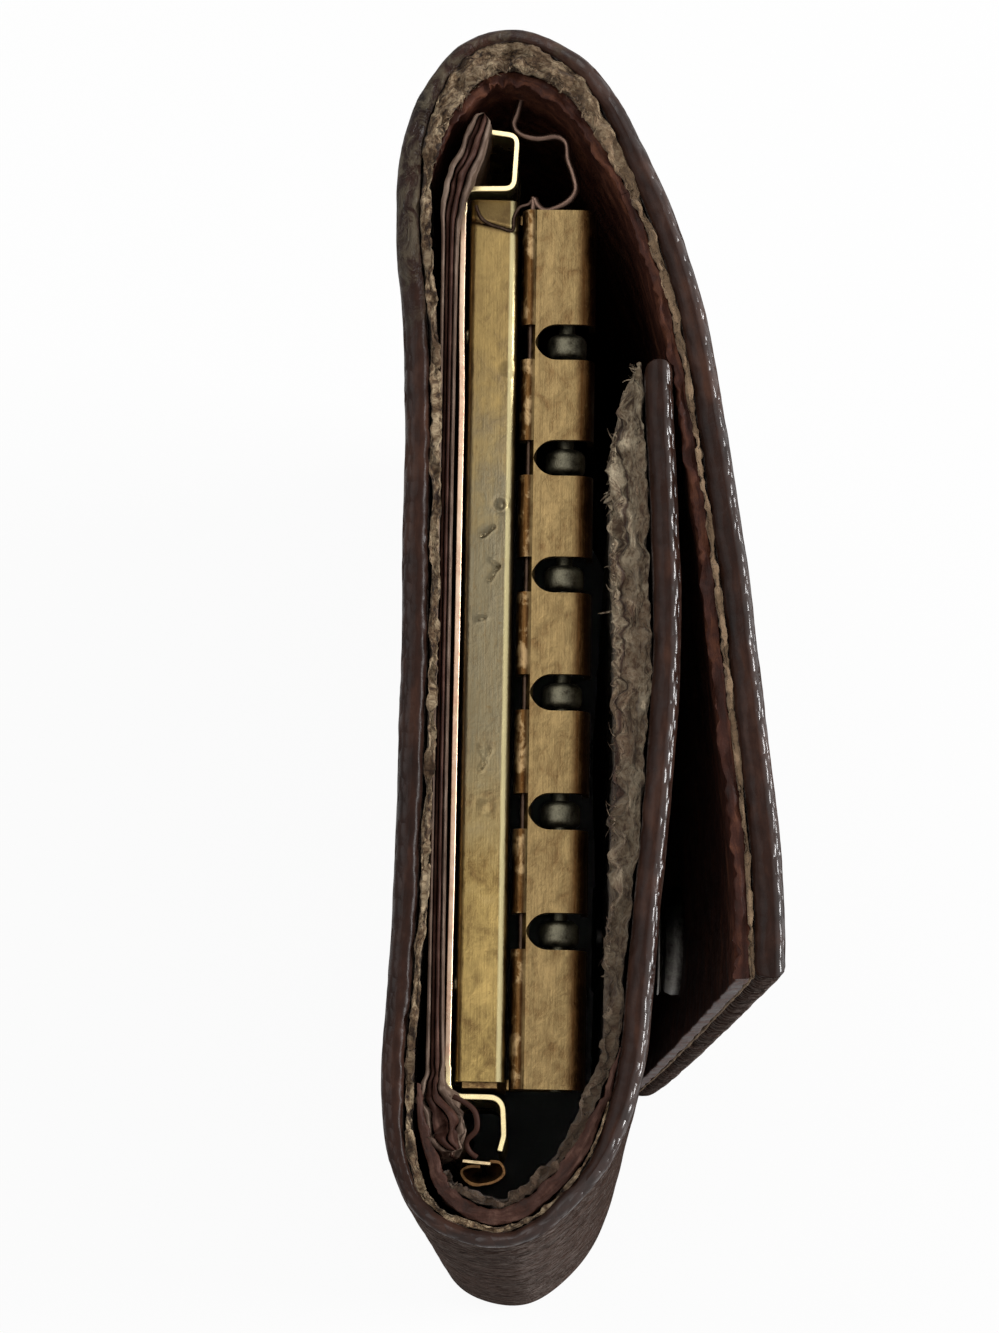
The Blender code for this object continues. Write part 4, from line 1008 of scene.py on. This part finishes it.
def channel():
    """The channel is a bent sheet with dents; an end plate at each end is a flat outline with a lug
    round the hooks' rod, given a thickness."""
    skin = BAR_SHEET / 2
    back, front, top = CHANNEL_BACK - skin, CHANNEL_FRONT + skin, BAR_TOP - skin
    line = fillet([(back, CHANNEL_FOOT), (back, top), (front, top), (front, CHANNEL_FOOT)], CHANNEL_BEND)
    x = np.concatenate([np.linspace(-BAR_HALF, 20 * MM, 420)[:-1], np.linspace(20 * MM, BAR_HALF, 50)])
    item = bent_sheet("channel_strip", evenly(line, 0.09 * MM), x, BAR_SHEET, CHANNEL, lengthwise, dents)
    fit(item, "back", "bar_brass", "bar_frame")
    angle = np.radians(np.linspace(180, 270, 12))
    lug = np.stack([ROD[0] + LUG_R * np.cos(angle), ROD[1] + LUG_R * np.sin(angle)], -1)
    cheek = np.concatenate([
        [(CHANNEL_BACK - CHEEK_INSET, BAR_TOP - 0.5 * MM), (CHANNEL_FRONT + CHEEK_INSET, BAR_TOP - 0.5 * MM),
         (CHANNEL_FRONT - 0.1 * MM, ROD[1] + 0.5 * MM), (ROD[0] + 0.3 * MM, ROD[1] + 0.75 * MM)],
        lug,
        [(CHANNEL_FRONT, ROD[1] - LUG_R), (CHANNEL_FRONT, CHANNEL_FOOT),
         (CHANNEL_BACK - CHEEK_INSET, CHANNEL_FOOT)]])
    count = len(cheek)
    ring = np.arange(count)
    after = np.roll(ring, -1)
    walls = np.stack([ring, after, after + count, ring + count], -1)
    loop = np.append(ring, 0)
    caps = np.concatenate([fan(loop, 2 * count)[:, (1, 0, 2)], fan(loop + count, 2 * count + 1)])
    for label, side, end in (("left", -1, LID_FROM), ("right", 1, LID_TO)):
        ends = (end - side * 0.55 * MM, end - side * 0.05 * MM)
        verts = np.array([(x, y, z) for x in ends for y, z in cheek]
                         + [(x, 4.6 * MM, 94.6 * MM) for x in ends])
        faces = outward(verts - verts.mean(0), walls, caps)
        fit(piece(f"end_plate_{label}", verts, faces, WIRE_BRASS), "back", "bar_brass")


channel()


# The slotted lid

SLOT_HALF = 0.98 * MM
NOTCH_HALF = 0.95 * MM
SLOT_BACK_Y = 2.74 * MM
KNUCKLE_R = 0.38 * MM
LID_TOP = BAR_TOP - 0.26 * MM
LID_FRONT = -0.35 * MM + BAR_SHEET / 2
LID_SKIRT = 1.55 * MM
LID_CORNER = 0.8 * MM
LID_FLAT_Y = 1.5 * MM


def lid_section():
    """The lid's line in (y, z): a knuckle round the hinge wire, a small step, the flat top, a round
    corner and a short skirt."""
    angle = np.radians(np.linspace(-150, 92, 30))
    curl = np.stack([HINGE[0] + KNUCKLE_R * np.cos(angle), HINGE[1] + KNUCKLE_R * np.sin(angle)], -1)
    step = fillet([curl[-1], (HINGE[0] - 0.14 * MM, LID_TOP + 0.02 * MM),
                   (HINGE[0] - 0.20 * MM, LID_TOP - 0.14 * MM),
                   (HINGE[0] - 0.30 * MM, LID_TOP), (LID_FLAT_Y, LID_TOP)], 0.08 * MM, 4)
    corner = fillet([(LID_FLAT_Y, LID_TOP), (LID_FRONT, LID_TOP), (LID_FRONT, LID_TOP - LID_SKIRT)],
                    LID_CORNER, 14)
    return np.concatenate([curl[:-1], step[:-1], corner])


def slotted_lid():
    """The lid is a bent sheet on a grid of places along the bar and along its section. Cells are left
    out for the six slots, which are open in front and round behind, and for the gaps in the knuckle."""
    line = evenly(lid_section(), 0.10 * MM)
    turn = np.linspace(-math.pi / 2, math.pi / 2, 17)
    lines = [np.linspace(LID_FROM, LID_TO, 260)]
    for x in HOOK_X:
        lines[0] = lines[0][np.abs(lines[0] - x) > NOTCH_HALF + 0.02 * MM]
        lines += [x + SLOT_HALF * np.sin(turn), np.array([x - NOTCH_HALF, x + NOTCH_HALF])]
    x = np.unique(np.round(np.concatenate(lines), 8))
    y = line[:, 0]
    at = np.arange(len(line))
    last_curl = int(np.argmax(line[:, 1]))
    start = int(np.flatnonzero((at > last_curl) & (y < SLOT_BACK_Y))[0])
    end = int(np.flatnonzero((at > last_curl) & (y < SLOT_BACK_Y - SLOT_HALF))[0])
    knuckle = np.flatnonzero((y[:-1] > HINGE[0] - 0.10 * MM) & (at[:-1] < start))
    knuckle = np.union1d(knuckle, np.arange(last_curl))
    grid = at[None].repeat(len(x), 0).astype(float)
    kept = np.ones((len(x) - 1, len(line) - 1), bool)
    cell_x = (x[:-1] + x[1:]) / 2
    for centre in HOOK_X:
        off = (x - centre) / SLOT_HALF
        inside = np.abs(off) <= 1.0001
        arch = np.sqrt(np.clip(1 - off[inside] ** 2, 0, 1))
        span = np.arange(start - 1, end + 1)
        goal = (end - start + 1) * (1 - arch[:, None])
        grid[np.ix_(inside, span)] = (start - 1) + goal * (span - (start - 1)) / (len(span) - 1)
        kept[np.abs(cell_x - centre) < SLOT_HALF, end:] = False
        kept[np.ix_(np.abs(cell_x - centre) < NOTCH_HALF, knuckle)] = False
    side = leftward(unit(np.gradient(line, axis=0))) * BAR_SHEET / 2
    layers = []
    for sign in (1, -1):
        edge = line + sign * side
        out = np.stack(np.broadcast_arrays(x[:, None], np.interp(grid, at, edge[:, 0]),
                                           np.interp(grid, at, edge[:, 1])), -1)
        out[..., 2] += 0.02 * MM * smooth_noise(out, 2.2 * MM, 17)
        layers.append(out)
    item = sheet_piece("slotted_lid_brass", *layers, kept, LID)
    soft_edges(item, 0.035 * MM)
    fit(item, "lid", "bar_brass", "slotted_lid")


slotted_lid()


# Wires, hooks, rivets and snap. The wires' routes are in plan, in mm.

TAIL_MM = ((24.0, 3.05), (23.5, 2.8), (23.25, 2.3), (23.7, 1.3), (24.4, 0.8), (25.3, 0.95), (26.2, 1.25),
           (27.1, 1.35), (27.5, 1.9), (27.37, 2.9), (27.6, 3.85), (28.1, 4.2), (28.8, 4.0), (29.9, 3.75))
CORNER_MM = ((24.0, 3.1), (23.6, 3.35), (23.4, 3.8), (22.8, 4.1), (22.1, 4.15), (22.0, 4.4), (22.15, 4.8),
             (22.35, 5.4), (22.7, 5.9), (23.4, 6.2))
STRAND_MM = ((-24.7, 6.5), (-25.1, 5.75), (-25.6, 5.3), (-26.4, 5.25), (-27.0, 5.75), (-27.5, 5.6),
             (-27.8, 5.2))


def wires():
    """Each wire is a tube along a spline: the hinge wire with its tail, the rod, the thin wire that
    follows the dents over the bar's corner, and the loose strand, which rises and falls as a sine."""
    def route(knots, z, rise=0.0, turns=0.0):
        """A spline in plan at a height that swings as a sine."""
        line = spline(np.array(knots) * MM, 8)
        return np.column_stack([line, z + rise * np.sin(np.linspace(0, turns, len(line)))])

    def straight(end, count, y, z):
        """A line from the lid's lower end along X."""
        return np.column_stack([np.linspace(LID_FROM, end, count), np.full(count, y), np.full(count, z)])

    flat = (0, 0, 1)
    hinge = np.concatenate([straight(23.4 * MM, 60, *HINGE), route(TAIL_MM, HINGE[1], 0.15 * MM, 7)])
    fit(tube("hinge_wire_brown", hinge, HINGE_WIRE_R, flat, WIRE), "back", "dark_wire", "hinge_wire")
    rod = straight(LID_TO, 40, *ROD)
    fit(tube("hook_rod_steel", rod, ROD_R, flat, STEEL), "back", "dark_wire", "hook_rod")
    corner = dents(route(CORNER_MM, BAR_TOP + 0.05 * MM))
    fit(tube("wire_over_corner", corner, 0.11 * MM, flat, WIRE), "back", "dark_wire")
    strand = route(STRAND_MM, HEIGHT - 1.6 * MM, 0.4 * MM, 5)
    fit(tube("loose_leather_strand", strand, 0.14 * MM, flat, CORE), "back", "panel_leather")


wires()

EYE_HALF = 0.68 * MM
EYE_CROWN = 1.06 * MM
EYE_BORE = 0.5 * MM
LOOP_HALF = 2.4 * MM
LOOP_LENGTH = 26 * MM
LOOP_WIRE_R = 0.4 * MM


def key_hooks():
    """Each hook is a crowned eye on the rod and a closed wire loop under it."""
    t = np.linspace(-1, 1, 15)
    crown = np.column_stack([EYE_CROWN - 0.30 * MM * np.abs(t) ** 5, t * EYE_HALF])
    profile = np.concatenate([[(EYE_BORE, -EYE_HALF)], crown, [(EYE_BORE, EYE_HALF)]])
    shoulder = np.linspace(0, 1, 10)
    ease = shoulder ** 2 * (3 - 2 * shoulder)
    round_z = -LOOP_LENGTH + LOOP_HALF
    right = np.column_stack([LOOP_HALF * ease, -1.0 * MM - 4.4 * MM * shoulder])
    down = np.column_stack([np.full(12, LOOP_HALF), np.linspace(-5.6 * MM, round_z, 12)])
    turn = np.linspace(0, -math.pi, 17)
    foot = np.column_stack([LOOP_HALF * np.cos(turn), round_z + LOOP_HALF * np.sin(turn)])
    loop = np.concatenate([right, down, foot[1:-1], down[::-1] * (-1, 1), right[:0:-1] * (-1, 1)])
    for number, (node, x) in enumerate(zip(HOOKS, HOOK_X), start=1):
        eye = turned(f"hook_eye_{number}", profile, (1, 0, 0), (x, *ROD), STEEL)
        path = np.column_stack([loop[:, 0] + x, np.full(len(loop), ROD[0]), loop[:, 1] + ROD[1]])
        wire = tube(f"hook_loop_{number}", path, LOOP_WIRE_R, (0, 1, 0), STEEL, closed=True)
        fit(eye, f"hook_{number}", "hook_steel", node)
        fit(wire, f"hook_{number}", "hook_steel")


key_hooks()

# Profiles of the snap's socket and stud, in mm: radius and height over the seat

SOCKET_MM = ((0, 0.25), (1.7, 0.25), (1.9, 0.35), (1.95, 0.72), (2.1, 0.8), (3.0, 0.8), (3.2, 0.7),
             (3.4, 0.3), (3.4, -0.3), (3.3, -0.5), (0, -0.5))
STUD_MM = ((0, 0.75), (1.2, 0.75), (1.5, 0.68), (1.6, 0.52), (1.42, 0.3), (1.6, 0.25), (3.2, 0.25),
           (3.4, 0.12), (3.4, 0.02), (3.3, 0.0), (0, 0.0))
SNAP_HEAD = 0.25 * MM
SNAP_SHANK_R = 1.2 * MM
CAP_R, CAP_RISE, CAP_SHANK = 4.5 * MM, 1.0 * MM, 1.9 * MM
RIVET_R, RIVET_RISE, RIVET_SHANK_R = 1.4 * MM, 0.5 * MM, 0.7 * MM
FORWARD = (0, -1, 0)


def dome(radius, rise, edge, back, count=14):
    """The profile of a low dome with a rolled edge, from its top to its back."""
    t = np.linspace(0, 1, count)
    over = np.column_stack([radius * np.sin(t * math.pi / 2), rise * np.cos(t * math.pi / 2) ** 0.9])
    return np.concatenate([over, [(radius, -edge), (radius - edge, -back)]])


def small_metal():
    """The rivets and the snap's pieces are profiles turned about Y: domes with shanks, and the socket,
    stud and post."""
    for node in ("rivet_left", "rivet_right"):
        low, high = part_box(node)
        x, _, z = middle(node)
        foot = RIVET_RISE - (high.y - low.y)
        profile = np.concatenate([dome(RIVET_R, RIVET_RISE, 0.02 * MM, 0.04 * MM),
                                  [(RIVET_SHANK_R, -0.04 * MM), (RIVET_SHANK_R, foot), (0, foot)]])
        item = turned(f"{node}_brass", profile, FORWARD, (x, low.y + RIVET_RISE, z), GOLD, 32)
        fit(item, "back", "bar_brass", node)

    x, z = middle("snap_cap")[0], HEIGHT / 2
    cap = np.concatenate([dome(CAP_R, CAP_RISE, 0.05 * MM, 0.1 * MM, 20),
                          [(SNAP_SHANK_R, -0.1 * MM), (SNAP_SHANK_R, -CAP_SHANK), (0, -CAP_SHANK)]])
    socket, stud = np.array(SOCKET_MM) * (MM, -MM), np.array(STUD_MM) * MM
    low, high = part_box("snap_post")
    tip = high.y - low.y - SNAP_HEAD
    post = [(0, tip), (SNAP_SHANK_R, tip), (SNAP_SHANK_R, 0.0), (3.3 * MM, 0.0), (3.4 * MM, -0.06 * MM),
            (3.2 * MM, -0.22 * MM), (0, -SNAP_HEAD)]
    for node, metal, look, profile, y, body in (
            ("snap_cap", "brass", GOLD, cap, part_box("snap_cap")[0].y + CAP_RISE, "outer_flap"),
            ("snap_socket", "nickel", NICKEL, socket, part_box("snap_socket")[0].y, "outer_flap"),
            ("snap_stud", "nickel", NICKEL, stud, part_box("snap_stud")[1].y, "inner_flap"),
            ("snap_post", "nickel", NICKEL, post, high.y - SNAP_HEAD, "inner_flap")):
        fit(turned(f"{node}_{metal}", profile, FORWARD, (x, y, z), look), body, "snap_metal", node)


small_metal()


# Floor, light and camera

FLOOR_GREY = (0.82, 0.82, 0.82)
FLOOR_GLOW = 0.93
FLOOR_HALF = 2.0
FLOOR_ROWS = 9


def floor():
    """A pale floor that the camera sees as nearly white, with the wallet's shadow, but not inside it:
    inside is a fourth-power oval round the back part, and a pocket between the flaps."""
    look = Look("pale_floor")
    look.finish(Base_Color=FLOOR_GREY, Roughness=0.9, Specular_IOR_Level=0.1)
    glow = look.add("ShaderNodeEmission", {"Color": (1, 1, 1, 1), "Strength": 1.0})
    rays = look.add("ShaderNodeLightPath").outputs
    seen = look.sum(look.sum(rays["Is Camera Ray"], rays["Is Glossy Ray"]), rays["Is Transmission Ray"])
    axes = look.axes(look.place())
    x, y = axes["X"], axes["Y"]

    def fourth(value, centre, reach):
        """The fourth power of the distance from a centre, in units of a reach."""
        scaled = look.spread(value, centre, centre + reach, clamp=False)
        square = look.times(scaled, scaled)
        return look.times(square, square)

    def between(value, low, high):
        """1 where the value is between the two, else 0."""
        return look.times(look.sum(value, low, "GREATER_THAN"), look.sum(value, high, "LESS_THAN"))

    oval = look.sum(look.sum(fourth(x, 0.0, 31.6 * MM), fourth(y, 3.6 * MM, 5.4 * MM)), 1.0, "LESS_THAN")
    slope = look.spread(x, 8 * MM, 30 * MM, -6.0 * MM, -0.4 * MM)
    pocket = look.times(between(x, -15.5 * MM, 30 * MM), between(y, slope, 3 * MM))
    around = look.sum(1.0, look.sum(oval, pocket, "MAXIMUM"), "SUBTRACT")
    share = look.times(look.times(seen, around), FLOOR_GLOW)
    mixed = look.add("ShaderNodeMixShader", {"Fac": share, 1: look.shader.outputs[0], 2: glow.outputs[0]})
    look.feed(look.tree.nodes["Material Output"].inputs["Surface"], mixed.outputs[0])
    reach = np.linspace(-FLOOR_HALF, FLOOR_HALF, FLOOR_ROWS)
    x, y = np.meshgrid(reach, reach, indexing="ij")
    faces = grid_faces(np.arange(x.size).reshape(x.shape))
    item = piece("floor", np.stack([x, y, np.zeros_like(x)], -1).reshape(-1, 3), [faces], look.material)


def world():
    """Soft white light from all round, at full strength where the camera or a reflection sees it."""
    made = bpy.data.worlds.new("soft_studio")
    made.use_nodes = True
    bpy.context.scene.world = made
    tree = made.node_tree
    back = tree.nodes["Background"]
    back.inputs["Color"].default_value = (1, 1, 1, 1)
    rays = tree.nodes.new("ShaderNodeLightPath")
    add = tree.nodes.new("ShaderNodeMath")
    level = tree.nodes.new("ShaderNodeMapRange")
    level.inputs["To Min"].default_value = 0.45
    level.inputs["To Max"].default_value = 1.0
    for output, socket in ((rays.outputs["Is Camera Ray"], add.inputs[0]),
                           (rays.outputs["Is Glossy Ray"], add.inputs[1]),
                           (add.outputs[0], level.inputs["Value"]),
                           (level.outputs[0], back.inputs["Strength"])):
        tree.links.new(output, socket)


def placed(name, data, location, turn):
    """An object at a place, turned by a quaternion."""
    item = bpy.data.objects.new(name, data)
    bpy.context.scene.collection.objects.link(item)
    item.location = location
    item.rotation_mode = "QUATERNION"
    item.rotation_quaternion = turn
    return item


def lamp(name, place, aim, size, power):
    """A white area lamp of a width and height, turned to what it lights."""
    data = bpy.data.lights.new(name, "AREA")
    data.shape = "RECTANGLE"
    data.size, data.size_y = size
    data.energy = power
    placed(name, data, place, (Vector(aim) - Vector(place)).to_track_quat("-Z", "Y"))


PHOTO_FOCAL, PHOTO_WIDTH, PHOTO_HEIGHT = 4400.0, 999.0, 1333.0
VANISHING_POINT = (550.0, 1440.0)
AIM_POINT = (585.0, 638.0)
CAMERA_DEPTH = 0.230
CAMERA_ROLL = 0.0145
SENSOR = 36.0


def camera():
    """The camera looks down into the rim: the upright edges meet at a vanishing point below the
    wallet's middle, and the rim's width runs up the picture, turned by a small roll."""
    def ray(point):
        """The direction of a photo point from the camera."""
        shade_and_tone_across, down = point[0] - PHOTO_WIDTH / 2, point[1] - PHOTO_HEIGHT / 2
        return Vector((shade_and_tone_across / PHOTO_FOCAL, -down / PHOTO_FOCAL, -1.0))

    z_axis = -ray(VANISHING_POINT).normalized()
    x_axis = Vector((CAMERA_ROLL, 1.0, 0.0))
    x_axis = (x_axis - z_axis * x_axis.dot(z_axis)).normalized()
    turn = Matrix((x_axis, z_axis.cross(x_axis), z_axis))
    data = bpy.data.cameras.new("photo_camera")
    data.lens = PHOTO_FOCAL * SENSOR / PHOTO_HEIGHT
    data.sensor_width = SENSOR
    data.clip_start = 0.01
    target = Vector((-0.8 * MM, 0, HEIGHT))
    bpy.context.scene.camera = placed("photo_camera", data, target - turn @ (CAMERA_DEPTH * ray(AIM_POINT)),
                                      turn.to_quaternion())


floor()
world()
camera()
lamp("side_window", (0.04, -0.47, 0.27), (0, 0, 0.09), (0.22, 0.045), 2.4)
lamp("soft_top", (0.25, 0.30, 0.75), (0, 0, 0.09), (0.6, 0.6), 2.2)
bpy.context.scene.view_settings.view_transform = "Standard"
